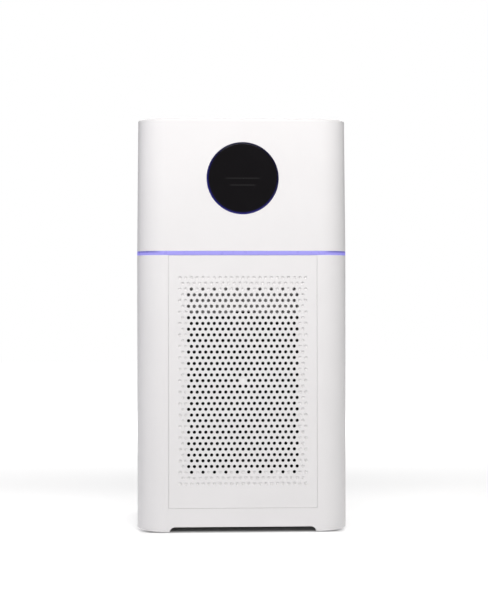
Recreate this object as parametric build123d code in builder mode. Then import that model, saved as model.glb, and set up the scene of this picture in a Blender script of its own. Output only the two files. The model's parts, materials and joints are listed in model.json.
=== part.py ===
"""Tower air purifier: a square column with a perforated pull-off front cover, a pull-out filter,
a centrifugal fan, an air duct to a louvred top outlet, a round display and a ring of light.

Millimetres. +Z is up, the front faces -Y, and the origin is on the floor under the middle.
"""

import math
import os

from build123d import *

# ---------------------------------------------------------------- driving dimensions
width = 270.0  # across X and across Y: the column is square
height = 530.0
corner_r = 35.0  # upright corners of the column
wall = 2.5  # every moulded outer wall
seam = 0.4  # gap between neighbouring outer pieces

foot_proud = 1.5  # rubber feet hold the housing this far off the floor
arch_width = 188.0  # low arch in the skirt on each side
arch_top = 8.0
arch_r = 7.0
skirt_thick = 6.0  # the foot of the housing is thicker, for its rounded lower edge
skirt_top = 7.8
skirt_r = 4.8

strip_bottom = 355.5  # glowing strip between lower housing and head
strip_height = 5.2
head_bottom = strip_bottom + strip_height
head_inset = 1.6  # the head is this much smaller on each side at its top
head_taper = math.degrees(math.atan(head_inset / (height - head_bottom)))
head_top_fillet = 3.0

cover_width = 190.0
cover_bottom = 32.0
cover_top = strip_bottom - seam
cover_thick = 2.5

hole_pitch = 7.31  # columns and rows, with every other row shifted by half a pitch
hole_r = 2.05
dimple_depth = 1.2
dimple_taper = 40.0  # dimples are cones, narrower at the bottom
pattern_z = 195.0  # middle of the hole pattern
pattern_rows = 18  # rows above and below the middle row
wide_row = 23  # hole sites in an even row, one fewer in an odd row
blind_edge = 2  # outer rows and columns that are only dimples

display_z = 453.6
display_r = 46.2  # opening in the head

fan_z = 190.0
impeller_r = 82.0
volute_step = 9.0  # growth of the scroll in each quarter turn
volute_r = 96.0
outlet_top = fan_z + 125.0
shaft_r = 4.0

front = -width / 2
rear = width / 2
inner = width / 2 - wall
floor_z = 8.0  # underside of the base tray
tray_thick = 3.0
tray_top = floor_z + tray_thick
shell_bottom = foot_proud

boss_x = 124.0  # screw bosses on the side walls, at the bottom and at the strip
boss_y = 90.0
boss_r = 4.5
boss_length = 20.0
pilot_depth = 18.0
rib_x = (boss_x + inner) / 2
rib_length = inner - boss_x + 0.4
screw_r = 1.5
screw_head_r = 3.0
screw_head_h = 2.0
frame_bottom = strip_bottom - 2.5  # the middle frame's lower ears
frame_top = frame_bottom + 18.5

bay_half = 83.0  # inside half width of the filter bay
bay_wall = 2.0
bay_bottom = 46.0
bay_top = 287.0
recess_top = 336.0  # finger recess above the filter
flange_front = -126.5
flange_back = flange_front + bay_wall
recess_back = -114.0
bay_back = -74.0
inlet_r = 72.0

cover_frame_back = -127.5
catch_x = 89.0  # magnets, strike plates and the interlock plunger
catch_low = 60.0
catch_high = 330.0
plunger_z = 200.0
plunger_r = 1.8

filter_front = -121.0
filter_back = -78.0
filter_half = bay_half - 1.0
filter_bottom = bay_bottom + 1.0
filter_top = bay_top - 2.0

scroll_front_y = -64.0
scroll_wall = 2.5
scroll_back_y = 18.0

sensor_x, sensor_z = -75.0, 328.0
socket_x, socket_z = 85.0, 40.0
grip_z = 486.0

os.makedirs("parts", exist_ok=True)


def upright(y):
    """A sketch plane facing the front at that depth: local X and Y are world X and Z."""
    return Plane.XZ.offset(-y)


def save(builder, name):
    """Labels a finished piece and writes it as its own STEP file."""
    builder.part.label = name
    export_step(builder.part, f"parts/{name}.step")


def ring_sketch(size, radius, thickness):
    """A rounded-square ring of that outside size, drawn in the current sketch."""
    RectangleRounded(size, size, radius)
    inside = size - 2 * thickness
    RectangleRounded(inside, inside, radius - thickness, mode=Mode.SUBTRACT)


def slab(x0, x1, z0, z1):
    """A rectangle between those X and Z limits, drawn in the current upright sketch."""
    with Locations(((x0 + x1) / 2, (z0 + z1) / 2)):
        Rectangle(x1 - x0, z1 - z0)


def screws(name, *groups, head=screw_head_r):
    """Identical pan-head screws in one node.

    Each group is the plane its heads sit on, their positions there, and their length.
    """
    with BuildPart() as part:
        for plane, points, length in groups:
            with BuildSketch(plane):
                with Locations(*points):
                    Circle(head)
            extrude(amount=screw_head_h)
            with BuildSketch(plane.offset(screw_head_h)):
                with Locations(*points):
                    Rectangle(head * 1.1, 0.7)
                    Rectangle(0.7, head * 1.1)
            extrude(amount=-0.9, mode=Mode.SUBTRACT)
            with BuildSketch(plane):
                with Locations(*points):
                    Circle(screw_r)
            extrude(amount=-length)
    save(part, name)


def turned(points):
    """The same places as seen in a plane that faces the other way."""
    return [(u, -v) for u, v in points]


def side_bosses(y, z0, pilot_from):
    """Two screw bosses on ribs for the side walls at depth y, with pilot holes from that level."""
    with BuildPart() as bosses:
        with BuildSketch(Plane.XY.offset(z0)):
            with Locations((-boss_x, y), (boss_x, y)):
                Circle(boss_r)
            with Locations((-rib_x, y), (rib_x, y)):
                Rectangle(rib_length, 2.5)
        extrude(amount=boss_length)
        with BuildSketch(Plane.XY.offset(pilot_from)):
            with Locations((-boss_x, y), (boss_x, y)):
                Circle(screw_r)
        extrude(amount=pilot_depth if pilot_from == z0 else -pilot_depth, mode=Mode.SUBTRACT)
    return bosses.part


def lower_tube():
    """The rounded-square tube of the lower housing with a low arch in each side."""
    with BuildPart() as tube:
        with BuildSketch(Plane.XY.offset(shell_bottom)):
            ring_sketch(width, corner_r, wall)
        extrude(amount=strip_bottom - shell_bottom)
        with BuildSketch(Plane.XY.offset(shell_bottom)):
            ring_sketch(width, corner_r, skirt_thick)
        extrude(amount=skirt_top - shell_bottom)
        fillet(tube.faces().sort_by(Axis.Z)[0].outer_wire().edges(), skirt_r)
        for plane in (Plane.XZ, Plane.YZ):
            with BuildSketch(plane):
                RectangleRounded(arch_width, 2 * arch_top, arch_r)
            extrude(amount=width, both=True, mode=Mode.SUBTRACT)
    return tube.part


# ---------------------------------------------------------------- base
foot_spots = [(sx * 106.0, sy * 106.0) for sx in (-1, 1) for sy in (-1, 1)]
boss_spots = [(sx * boss_x, sy * boss_y) for sx in (-1, 1) for sy in (-1, 1)]
foot_r = 11.0
foot_stem_r = 3.0
foot_top = 3.5
power_spots = [(-88.0, 62.0), (-2.0, 62.0), (-88.0, 118.0), (-2.0, 118.0)]
power_standoff = 6.0

with BuildPart() as base_tray:
    with BuildSketch(Plane.XY.offset(floor_z)):
        RectangleRounded(2 * inner - 0.6, 2 * inner - 0.6, corner_r - wall - 0.3)
    extrude(amount=tray_thick)
    with BuildSketch(Plane.XY.offset(foot_top)):
        with Locations(*foot_spots):
            Circle(foot_r + 2)
    extrude(amount=floor_z - foot_top)
    with BuildSketch(Plane.XY.offset(tray_top)):
        for x in (-70.0, 0.0, 70.0):
            with Locations((x, -20.0)):
                Rectangle(2, 110)
        for y in (-75.0, 35.0):
            with Locations((0, y)):
                Rectangle(142, 2)
    extrude(amount=6)
    with BuildSketch(Plane.XY.offset(tray_top)):
        with Locations(*power_spots):
            Circle(4)
    extrude(amount=power_standoff)
    with BuildSketch(Plane.XY.offset(tray_top + power_standoff)):
        with Locations(*power_spots):
            Circle(screw_r)
    extrude(amount=-power_standoff, mode=Mode.SUBTRACT)
    with BuildSketch(Plane.XY.offset(foot_top)):
        with Locations(*foot_spots):
            Circle(foot_stem_r)
        with Locations(*boss_spots):
            Circle(screw_r + 0.2)
    extrude(amount=tray_top - foot_top, mode=Mode.SUBTRACT)
save(base_tray, "base_tray")

for spot, corner in zip(foot_spots, ("front_left", "rear_left", "front_right", "rear_right")):
    with BuildPart() as foot:
        with BuildSketch():
            with Locations(spot):
                Circle(foot_r)
        extrude(amount=foot_top)
        fillet(foot.faces().sort_by(Axis.Z)[0].edges(), 0.8)
        with BuildSketch(Plane.XY.offset(foot_top)):
            with Locations(spot):
                Circle(foot_stem_r)
        extrude(amount=tray_top - foot_top)
    save(foot, f"foot_{corner}")

# ---------------------------------------------------------------- lower housing
flange_boss_spots = [(sx * 104.0, z) for sx in (-1, 1) for z in (60.0, 190.0, 325.0)]
tongue_thick = 1.5  # tongues on the front half tuck behind the walls of the rear half
tongue_reach = 6.0
tongue_z0, tongue_z1 = 36.0, 330.0

front_tube = lower_tube()
front_bosses = side_bosses(-boss_y, tray_top, tray_top)
front_upper_bosses = side_bosses(-boss_y, frame_bottom - boss_length, frame_bottom)

with BuildPart() as front_housing:
    add(front_tube)
    split(bisect_by=Plane.XZ.offset(seam / 2), keep=Keep.TOP)
    with BuildSketch(upright(front + 2 * wall)):
        slab(-cover_width / 2 - seam, cover_width / 2 + seam, cover_bottom - seam, height)
    extrude(amount=3 * wall, mode=Mode.SUBTRACT)
    with BuildSketch(upright(flange_front)):
        with Locations(*flange_boss_spots):
            Circle(4)
    extrude(amount=flange_front - front - wall)
    with BuildSketch(upright(flange_front)):
        with Locations(*flange_boss_spots):
            Circle(screw_r)
    extrude(amount=5, mode=Mode.SUBTRACT)
    add(front_bosses)
    add(front_upper_bosses)
    with BuildSketch(Plane.XY.offset(tongue_z0)):
        for side in (-1, 1):
            with Locations((side * (inner - 0.1 - tongue_thick / 2), 0)):
                Rectangle(tongue_thick, 2 * tongue_reach)
            with Locations((side * (inner - tongue_thick / 2 + 0.1), -tongue_reach / 2 - seam)):
                Rectangle(tongue_thick, tongue_reach - seam)
    extrude(amount=tongue_z1 - tongue_z0)
save(front_housing, "front_housing")

board_x, board_z0, board_z1 = 60.0, 215.0, 300.0
board_front = 112.0
board_thick = 1.6
board_spots = [(x, z) for x in (-52.0, 52.0) for z in (board_z0 + 8, board_z1 - 8)]
vent_spots = [(-48.0 + 12.0 * i, z) for i in range(9) for z in (238.0, 276.0)]
door_w, door_h = 56.0, 40.0  # hinged cover over the air-quality sensor
door_r = 2.4  # rolled lower edge of that cover, round its hinge
hinge_y = inner + 0.1
hinge_z = sensor_z - door_h / 2 + door_r
hinge_pin_r = 1.0
ear_thick = 4.0
ear_x = door_w / 2 + seam + ear_thick / 2
sensor_boss_x = 36.0
sensor_spots = [(sensor_x + side * sensor_boss_x, sensor_z) for side in (-1, 1)]
sensor_back = 122.0
socket_w, socket_h = 21.4, 13.4

rear_tube = lower_tube()
rear_bosses = side_bosses(boss_y, tray_top, tray_top)
rear_upper_bosses = side_bosses(boss_y, frame_bottom - boss_length, frame_bottom)

with BuildPart() as rear_housing:
    add(rear_tube)
    split(bisect_by=Plane.XZ.offset(-seam / 2), keep=Keep.BOTTOM)
    with BuildSketch(upright(inner)):
        with Locations(*board_spots):
            Circle(3.5)
    extrude(amount=inner - board_front - board_thick)
    with BuildSketch(upright(board_front + board_thick)):
        with Locations(*board_spots):
            Circle(screw_r)
    extrude(amount=-12, mode=Mode.SUBTRACT)
    with BuildSketch(upright(inner)):
        with Locations(*sensor_spots):
            Circle(3.5)
    extrude(amount=inner - sensor_back)
    with BuildSketch(upright(sensor_back)):
        with Locations(*sensor_spots):
            Circle(screw_r)
    extrude(amount=-8, mode=Mode.SUBTRACT)
    with BuildSketch(upright(inner)):
        with Locations((socket_x, socket_z)):
            RectangleRounded(33, 25, 3)
        with Locations((sensor_x - ear_x, hinge_z), (sensor_x + ear_x, hinge_z)):
            Rectangle(ear_thick, 2 * door_r + 2)
    extrude(amount=3)
    with BuildSketch(upright(rear)):
        with Locations((socket_x, socket_z)):
            RectangleRounded(socket_w + 6, socket_h + 6, 4)
    extrude(amount=wall, mode=Mode.SUBTRACT)
    with BuildSketch(upright(rear)):
        with Locations((socket_x, socket_z)):
            RectangleRounded(socket_w, socket_h, 2)
        slab(
            sensor_x - door_w / 2 - seam,
            sensor_x + door_w / 2 + seam,
            sensor_z - door_h / 2 - 2 * seam,
            sensor_z + door_h / 2 + seam,
        )
        with Locations(*vent_spots):
            SlotOverall(28, 3, rotation=90)
    extrude(amount=wall + 3, mode=Mode.SUBTRACT)
    with BuildSketch(Plane.YZ.offset(sensor_x - ear_x - ear_thick / 2)):
        with Locations((hinge_y, hinge_z)):
            Circle(hinge_pin_r)
    extrude(amount=2 * ear_x + ear_thick, mode=Mode.SUBTRACT)
    add(rear_bosses)
    add(rear_upper_bosses)
save(rear_housing, "rear_housing")

# ---------------------------------------------------------------- filter bay
scroll_post_spots = [(sx * 62.0, fan_z + sz * 62.0) for sx in (-1, 1) for sz in (-1, 1)]

with BuildPart() as filter_bay:
    with BuildSketch(upright(flange_back)):
        slab(-112, 112, 20, 350)
    extrude(amount=bay_wall)
    with BuildSketch(upright(bay_back + bay_wall)):
        slab(-bay_half - bay_wall, bay_half + bay_wall, bay_bottom - bay_wall, bay_top + bay_wall)
    extrude(amount=bay_back + bay_wall - flange_back)
    with BuildSketch(upright(recess_back + bay_wall)):
        slab(-bay_half - bay_wall, bay_half + bay_wall, bay_top, recess_top + bay_wall)
    extrude(amount=recess_back + bay_wall - flange_back)
    with BuildSketch(upright(bay_back)):
        slab(-bay_half, bay_half, bay_bottom, bay_top)
    extrude(amount=60, mode=Mode.SUBTRACT)
    with BuildSketch(upright(recess_back)):
        slab(-bay_half, bay_half, bay_top - 5, recess_top)
    extrude(amount=20, mode=Mode.SUBTRACT)
    with BuildSketch(upright(0)):
        with Locations((0, fan_z)):
            Circle(inlet_r)
        with Locations(*scroll_post_spots):
            Circle(screw_r + 0.2)
        with Locations(*flange_boss_spots, (catch_x, plunger_z)):
            Circle(plunger_r + 0.3)
    extrude(amount=width / 2, mode=Mode.SUBTRACT)
save(filter_bay, "filter_bay")

screws("bay_screws", (upright(flange_back).reverse(), turned(flange_boss_spots), 6.5))

catch_spots = [(sx * catch_x, z) for sx in (-1, 1) for z in (catch_low, catch_high)]
catch_r = 3.5

with BuildPart() as strike_plates:
    with BuildSketch(upright(flange_front)):
        with Locations(*catch_spots):
            Circle(catch_r)
    extrude(amount=0.7)
save(strike_plates, "strike_plates")

with BuildPart() as interlock_switch:
    with BuildSketch(upright(flange_back + 14)):
        slab(catch_x - 3.5, catch_x + 9, plunger_z - 10, plunger_z + 10)
    extrude(amount=14)
    fillet(interlock_switch.edges().filter_by(Axis.Y), 0.8)
    with BuildSketch(upright(flange_back + 18)):
        with Locations((catch_x, plunger_z - 6), (catch_x, plunger_z), (catch_x, plunger_z + 6)):
            Rectangle(3, 0.8)
    extrude(amount=4)
    with BuildSketch(upright(flange_back + 8)):
        with Locations((catch_x, plunger_z)):
            Circle(plunger_r + 0.3)
    extrude(amount=8, mode=Mode.SUBTRACT)
save(interlock_switch, "interlock_switch")

with BuildPart() as switch_plunger:
    with BuildSketch(upright(flange_back + 5)):
        with Locations((catch_x, plunger_z)):
            Circle(plunger_r)
    extrude(amount=flange_back + 5 - cover_frame_back - 0.3)
    fillet(switch_plunger.faces().sort_by(Axis.Y)[0].edges(), 0.8)
save(switch_plunger, "switch_plunger")

# ---------------------------------------------------------------- front cover
open_spots, blind_spots = [], []
for row in range(-pattern_rows, pattern_rows + 1):
    sites = wide_row - abs(row) % 2
    outer_row = pattern_rows - abs(row)
    for site in range(sites):
        from_edge = min(site, sites - 1 - site)
        spot = ((site - (sites - 1) / 2) * hole_pitch, pattern_z + row * hole_pitch)
        inside = outer_row >= blind_edge and from_edge >= blind_edge - abs(row) % 2
        sparse = outer_row == blind_edge and from_edge % 2 == 1
        if row == 0 and site == (sites - 1) / 2:
            continue  # the middle of the pattern stays solid
        (open_spots if inside and not sparse else blind_spots).append(spot)

with BuildPart() as front_cover:
    with BuildSketch(upright(front + cover_thick)):
        slab(-cover_width / 2, cover_width / 2, cover_bottom, cover_top)
        with Locations(*open_spots):
            Circle(hole_r, mode=Mode.SUBTRACT)
    extrude(amount=cover_thick)
    rim = front_cover.faces().sort_by(Axis.Y)[0].outer_wire().edges()
    chamfer(rim, 0.4)
    with BuildSketch(upright(front)):
        with Locations(*blind_spots):
            Circle(hole_r)
    extrude(amount=-dimple_depth, taper=dimple_taper, mode=Mode.SUBTRACT)
save(front_cover, "front_cover")

frame_band = 8.0
with BuildPart() as cover_frame:
    frame_half = cover_width / 2 - 2
    with BuildSketch(upright(cover_frame_back)):
        slab(-frame_half, frame_half, cover_bottom + 2.5, 346)
        slab_in = frame_half - frame_band
        with Locations((0, (cover_bottom + 2.5 + 346) / 2)):
            inner_h = 346 - cover_bottom - 2.5 - 2 * frame_band
            Rectangle(2 * slab_in, inner_h, mode=Mode.SUBTRACT)
    extrude(amount=cover_frame_back - front - cover_thick)
    with BuildSketch(upright(cover_frame_back)):
        with Locations(*catch_spots):
            Circle(catch_r)
    extrude(amount=3, mode=Mode.SUBTRACT)
save(cover_frame, "cover_frame")

with BuildPart() as cover_magnets:
    with BuildSketch(upright(cover_frame_back)):
        with Locations(*catch_spots):
            Circle(catch_r)
    extrude(amount=3)
save(cover_magnets, "cover_magnets")

# ---------------------------------------------------------------- filter
filter_mid = (filter_bottom + filter_top) / 2
filter_h = filter_top - filter_bottom
filter_lip = 6.5
filter_skin = 2.0
carbon_front, carbon_back = filter_front + 3.0, filter_front + 11.0

with BuildPart() as filter_frame:
    with BuildSketch(upright(filter_back)):
        with Locations((0, filter_mid)):
            RectangleRounded(2 * filter_half, filter_h, 3)
            lip_w, lip_h = 2 * (filter_half - filter_lip), filter_h - 2 * filter_lip
            Rectangle(lip_w, lip_h, mode=Mode.SUBTRACT)
    extrude(amount=filter_back - filter_front)
    with BuildSketch(upright(filter_back - filter_skin)):
        with Locations((0, filter_mid)):
            Rectangle(2 * (filter_half - filter_skin), filter_h - 2 * filter_skin)
    extrude(amount=filter_back - filter_front - 2 * filter_skin, mode=Mode.SUBTRACT)
save(filter_frame, "filter_frame")

fill_w, fill_h = 2 * (filter_half - filter_skin), filter_h - 2 * filter_skin

with BuildPart() as prefilter_mesh:
    with BuildSketch(upright(carbon_front)):
        with Locations((0, filter_mid)):
            Rectangle(fill_w, fill_h)
    extrude(amount=carbon_front - filter_front - filter_skin)
save(prefilter_mesh, "prefilter_mesh")

with BuildPart() as carbon_layer:
    with BuildSketch(upright(carbon_back)):
        with Locations((0, filter_mid)):
            Rectangle(fill_w, fill_h)
    extrude(amount=carbon_back - carbon_front)
save(carbon_layer, "carbon_layer")

pleats = 38
pleat_thick = 0.7
pleat_pitch = fill_w / pleats
pleat_back = filter_back - filter_skin


def pleat_line(shift):
    """One zigzag across the filter, seen from above, moved back by shift."""
    points = []
    for i in range(2 * pleats + 1):
        fold_y = carbon_back if i % 2 == 0 else pleat_back - pleat_thick
        points.append((-fill_w / 2 + i * pleat_pitch / 2, fold_y + shift))
    return points


with BuildPart() as hepa_media:
    with BuildSketch(Plane.XY.offset(filter_mid - fill_h / 2)):
        with BuildLine():
            Polyline(*pleat_line(0), *reversed(pleat_line(pleat_thick)), close=True)
        make_face()
    extrude(amount=fill_h)
save(hepa_media, "hepa_media")

seal_thick = 3.6
with BuildPart() as filter_seal:
    with BuildSketch(upright(filter_back + seal_thick)):
        with Locations((0, filter_mid)):
            RectangleRounded(2 * filter_half - 4, filter_h - 4, 3)
            RectangleRounded(2 * filter_half - 20, filter_h - 20, 3, mode=Mode.SUBTRACT)
    extrude(amount=seal_thick)
save(filter_seal, "filter_seal")

tab_half = 13.0
with BuildPart() as filter_pull_tab:
    with BuildSketch(upright(filter_front)):
        with Locations((0, filter_top - 22)):
            RectangleRounded(2 * tab_half, 40, 6)
        with Locations((0, filter_top - 32)):
            SlotOverall(14, 6, mode=Mode.SUBTRACT)
    extrude(amount=1.2)
save(filter_pull_tab, "filter_pull_tab")

# ---------------------------------------------------------------- fan housing
def fan_plane(y):
    """An upright plane at that depth whose origin is the fan's axis."""
    return Plane(origin=(0, y, fan_z), x_dir=(1, 0, 0), z_dir=(0, -1, 0))


with BuildPart() as inlet_guard:
    with BuildSketch(fan_plane(bay_back + bay_wall)):
        for ring_r in (18.0, 32.0, 46.0, 60.0, inlet_r - 0.2):
            Circle(ring_r)
            Circle(ring_r - 2, mode=Mode.SUBTRACT)
            for turn in range(3):
                Rectangle(2 * ring_r - 2, 2.4, rotation=60 * turn)
        Circle(10)
    extrude(amount=bay_wall)
save(inlet_guard, "inlet_guard")

bell_lip_r = 84.0
bell_throat_r = 61.0
bell_thick = 2.0
bell_face = bay_back + bay_wall
bell_end = -57.0
bell_bend = 9.0
post_spots = [(x, z - fan_z) for x, z in scroll_post_spots]

with BuildPart() as inlet_ring:
    with BuildSketch(Plane(origin=(0, 0, fan_z), x_dir=(1, 0, 0), z_dir=(0, 0, 1))):
        with BuildLine():
            throat = Line((bell_throat_r, bell_end), (bell_throat_r, bell_face + bell_bend))
            bend_in = CenterArc((bell_throat_r + bell_bend, bell_face + bell_bend), bell_bend, 180, 90)
            Polyline(
                bend_in @ 1,
                (bell_lip_r, bell_face),
                (bell_lip_r, bell_face + bell_thick),
                (bell_throat_r + bell_bend, bell_face + bell_thick),
            )
            outer_bend = bell_bend - bell_thick
            bend_out = CenterArc(
                (bell_throat_r + bell_bend, bell_face + bell_bend), outer_bend, 270, -90
            )
            Polyline(bend_out @ 1, (bell_throat_r + bell_thick, bell_end), throat @ 0)
        make_face()
    revolve(axis=Axis((0, 0, fan_z), (0, 1, 0)))
    with BuildSketch(fan_plane(bell_face + bell_thick)):
        with Locations(*post_spots):
            Circle(6)
    extrude(amount=bell_thick, mode=Mode.SUBTRACT)
save(inlet_ring, "inlet_ring")

# The scroll is three tangent arcs about the corners of a small square, then a straight outlet.
half_step = volute_step / 2
scroll_tip = volute_r * math.sqrt(0.5) - half_step  # it starts up and to the right of the fan
outlet_x1 = half_step + volute_r + 2 * volute_step
outlet_h = outlet_top - fan_z

with BuildSketch() as scroll_inside:
    with BuildLine():
        top_left = CenterArc((-half_step, -half_step), volute_r, 45, 135)
        CenterArc((half_step, -half_step), volute_r + volute_step, 180, 90)
        low_right = CenterArc((half_step, half_step), volute_r + 2 * volute_step, 270, 90)
        Polyline(low_right @ 1, (outlet_x1, outlet_h), (scroll_tip, outlet_h), top_left @ 0)
    make_face()

with BuildSketch() as scroll_outside:
    add(scroll_inside.sketch)
    offset(amount=scroll_wall, kind=Kind.INTERSECTION)
    with Locations(((scroll_tip + outlet_x1) / 2, outlet_h + scroll_wall)):
        Rectangle(2 * outlet_x1, 2 * scroll_wall, mode=Mode.SUBTRACT)

with BuildPart() as scroll_front:
    with BuildSketch(fan_plane(scroll_front_y + scroll_wall)):
        add(scroll_outside.sketch)
        Circle(bell_throat_r + bell_thick + 3, mode=Mode.SUBTRACT)
    extrude(amount=scroll_wall)
    with BuildSketch(fan_plane(scroll_front_y)):
        with Locations(*post_spots):
            Circle(5)
    extrude(amount=scroll_front_y - bell_face)
    with BuildSketch(fan_plane(bell_face)):
        with Locations(*post_spots):
            Circle(screw_r)
    extrude(amount=-8, mode=Mode.SUBTRACT)
save(scroll_front, "scroll_front")

shaft_hole_r = 20.0
mount_ring_r = 46.0
mount_r = 6.0
with BuildSketch() as mount_dots:
    with PolarLocations(mount_ring_r, 3, start_angle=90):
        Circle(screw_r)

with BuildPart() as scroll_rear:
    with BuildSketch(fan_plane(scroll_back_y)):
        add(scroll_outside.sketch)
        add(scroll_inside.sketch, mode=Mode.SUBTRACT)
    extrude(amount=scroll_back_y - scroll_front_y - scroll_wall)
    with BuildSketch(fan_plane(scroll_back_y + scroll_wall)):
        add(scroll_outside.sketch)
        Circle(shaft_hole_r, mode=Mode.SUBTRACT)
        add(mount_dots.sketch, mode=Mode.SUBTRACT)
    extrude(amount=scroll_wall)
save(scroll_rear, "scroll_rear")

screws("scroll_screws", (fan_plane(bay_back), post_spots, 9.5))

# ---------------------------------------------------------------- impeller and motor
blade_count = 36
blade_inner_r = 67.0
blade_thick = 1.4
disc_back = 10.5
disc_thick = 2.5
rim_front = -56.0
rim_thick = 2.0
hub_r = 12.0
hub_front = -8.0

with BuildSketch() as blade:
    with BuildLine():
        inner_end, outer_end = (blade_inner_r, 0), (impeller_r - 0.6, 5)
        face_arc = RadiusArc(inner_end, outer_end, 14)
        back_arc = RadiusArc(
            (blade_inner_r, -blade_thick), (impeller_r - 0.6, 5 - blade_thick), 14
        )
        Line(face_arc @ 0, back_arc @ 0)
        Line(face_arc @ 1, back_arc @ 1)
    make_face()

with BuildPart() as impeller:
    with BuildSketch(fan_plane(disc_back)):
        Circle(impeller_r)
    extrude(amount=disc_thick)
    with BuildSketch(fan_plane(disc_back + 3)):
        Circle(hub_r)
    extrude(amount=disc_back + 3 - hub_front)
    with BuildSketch(fan_plane(disc_back - disc_thick)):
        with PolarLocations(0, blade_count):
            add(blade.sketch)
    extrude(amount=disc_back - disc_thick - rim_front - rim_thick)
    with BuildSketch(fan_plane(rim_front + rim_thick)):
        Circle(impeller_r)
        Circle(blade_inner_r - 2, mode=Mode.SUBTRACT)
    extrude(amount=rim_thick)
    with BuildSketch(fan_plane(disc_back + 3)):
        Circle(shaft_r)
    extrude(amount=disc_back + 3 - hub_front, mode=Mode.SUBTRACT)
save(impeller, "impeller")

mount_front = scroll_back_y + scroll_wall
mount_back = mount_front + 8.0
bracket_back = mount_back + 2.0
motor_r = 31.0
motor_back = bracket_back + 36.0
motor_boss_r = 11.0
motor_screw_ring = 22.0
shaft_end = motor_back - 6.0

with BuildPart() as motor_shaft:
    with BuildSketch(fan_plane(shaft_end)):
        Circle(shaft_r)
    extrude(amount=shaft_end - hub_front + 9)
save(motor_shaft, "motor_shaft")

with BuildPart() as hub_nut:
    with BuildSketch(fan_plane(hub_front)):
        RegularPolygon(7.5, 6)
        Circle(shaft_r, mode=Mode.SUBTRACT)
    extrude(amount=6)
save(hub_nut, "hub_nut")

with BuildPart() as motor_mounts:
    with BuildSketch(fan_plane(mount_back)):
        with PolarLocations(mount_ring_r, 3, start_angle=90):
            Circle(mount_r)
            Circle(screw_r + 0.2, mode=Mode.SUBTRACT)
    extrude(amount=mount_back - mount_front)
    waist = motor_mounts.edges().filter_by(GeomType.CIRCLE).filter_by(lambda e: e.radius > 5)
    fillet(waist, 1.2)
save(motor_mounts, "motor_mounts")

with BuildPart() as motor_bracket:
    with BuildSketch(fan_plane(bracket_back)):
        Circle(motor_r + 4)
        for turn in (90, 210, 330):
            with PolarLocations(mount_ring_r / 2, 1, start_angle=turn):
                Rectangle(mount_ring_r, 2 * mount_r + 4)
            with PolarLocations(mount_ring_r, 1, start_angle=turn):
                Circle(mount_r + 2)
        Circle(motor_boss_r + 0.2, mode=Mode.SUBTRACT)
        with PolarLocations(mount_ring_r, 3, start_angle=90):
            Circle(screw_r + 0.2, mode=Mode.SUBTRACT)
        with PolarLocations(motor_screw_ring, 4, start_angle=45):
            Circle(screw_r + 0.2, mode=Mode.SUBTRACT)
    extrude(amount=bracket_back - mount_back)
save(motor_bracket, "motor_bracket")

with BuildPart() as motor_body:
    with BuildSketch(fan_plane(motor_back)):
        Circle(motor_r)
    extrude(amount=motor_back - bracket_back)
    with BuildSketch(fan_plane(bracket_back)):
        Circle(motor_boss_r)
    extrude(amount=4)
    rims = motor_body.edges().filter_by(GeomType.CIRCLE).filter_by(lambda e: e.radius > 30)
    fillet(rims, 1.5)
    with BuildSketch(fan_plane(motor_back)):
        with PolarLocations(20, 10):
            SlotOverall(12, 3)
    extrude(amount=3, mode=Mode.SUBTRACT)
    with BuildSketch(fan_plane(bracket_back - 4)):
        Circle(shaft_r + 0.3)
    extrude(amount=-(shaft_end + 0.5 - bracket_back + 4), mode=Mode.SUBTRACT)
    with BuildSketch(fan_plane(bracket_back)):
        with PolarLocations(motor_screw_ring, 4, start_angle=45):
            Circle(screw_r)
    extrude(amount=-8, mode=Mode.SUBTRACT)
save(motor_body, "motor_body")

def ring_spots(radius, angles):
    """Places on a circle of that radius."""
    return [(radius * math.cos(math.radians(a)), radius * math.sin(math.radians(a))) for a in angles]


mount_spots = ring_spots(mount_ring_r, (90, 210, 330))
motor_screw_spots = ring_spots(motor_screw_ring, (45, 135, 225, 315))
screws(
    "motor_screws",
    (fan_plane(bracket_back).reverse(), turned(mount_spots), bracket_back - scroll_back_y),
    (fan_plane(mount_back), motor_screw_spots, bracket_back - scroll_back_y - 3.5),
)

# ---------------------------------------------------------------- air duct and top grille
grille_top = height - wall
grille_bottom = grille_top - 10.5
flange_bottom = grille_bottom - 2.5
duct_half = 108.0
duct_wall = 2.0
duct_flange_half = 127.8
top_opening = 224.0
top_opening_r = 16.0
duct_screw_spots = [(sx * 123.0, sy * 50.0) for sx in (-1, 1) for sy in (-1, 1)]

with BuildPart() as duct:
    for grow, mode in ((duct_wall, Mode.ADD), (0, Mode.SUBTRACT)):
        with BuildSketch(Plane.XY.offset(outlet_top)):
            x0, x1 = scroll_tip - grow, outlet_x1 + grow
            y0, y1 = scroll_front_y + scroll_wall - grow, scroll_back_y + grow
            with Locations(((x0 + x1) / 2, (y0 + y1) / 2)):
                Rectangle(x1 - x0, y1 - y0)
        with BuildSketch(Plane.XY.offset(flange_bottom)):
            Rectangle(2 * (duct_half + grow), 2 * (duct_half + grow))
        loft(mode=mode)
    with BuildSketch(Plane.XY.offset(flange_bottom)):
        RectangleRounded(2 * duct_flange_half, 2 * duct_flange_half, 26)
        Rectangle(2 * duct_half, 2 * duct_half, mode=Mode.SUBTRACT)
        with Locations(*duct_screw_spots):
            Circle(screw_r + 0.2, mode=Mode.SUBTRACT)
    extrude(amount=grille_bottom - flange_bottom)
save(duct, "air_duct")

screws("duct_screws", (Plane.XY.offset(flange_bottom).reverse(), turned(duct_screw_spots), 9.0))

grille_half = 118.0
grille_band = 7.0
louvre_count = 19
louvre_pitch = 11.0
louvre_tilt = 22.0
grille_in = grille_half - grille_band

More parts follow.
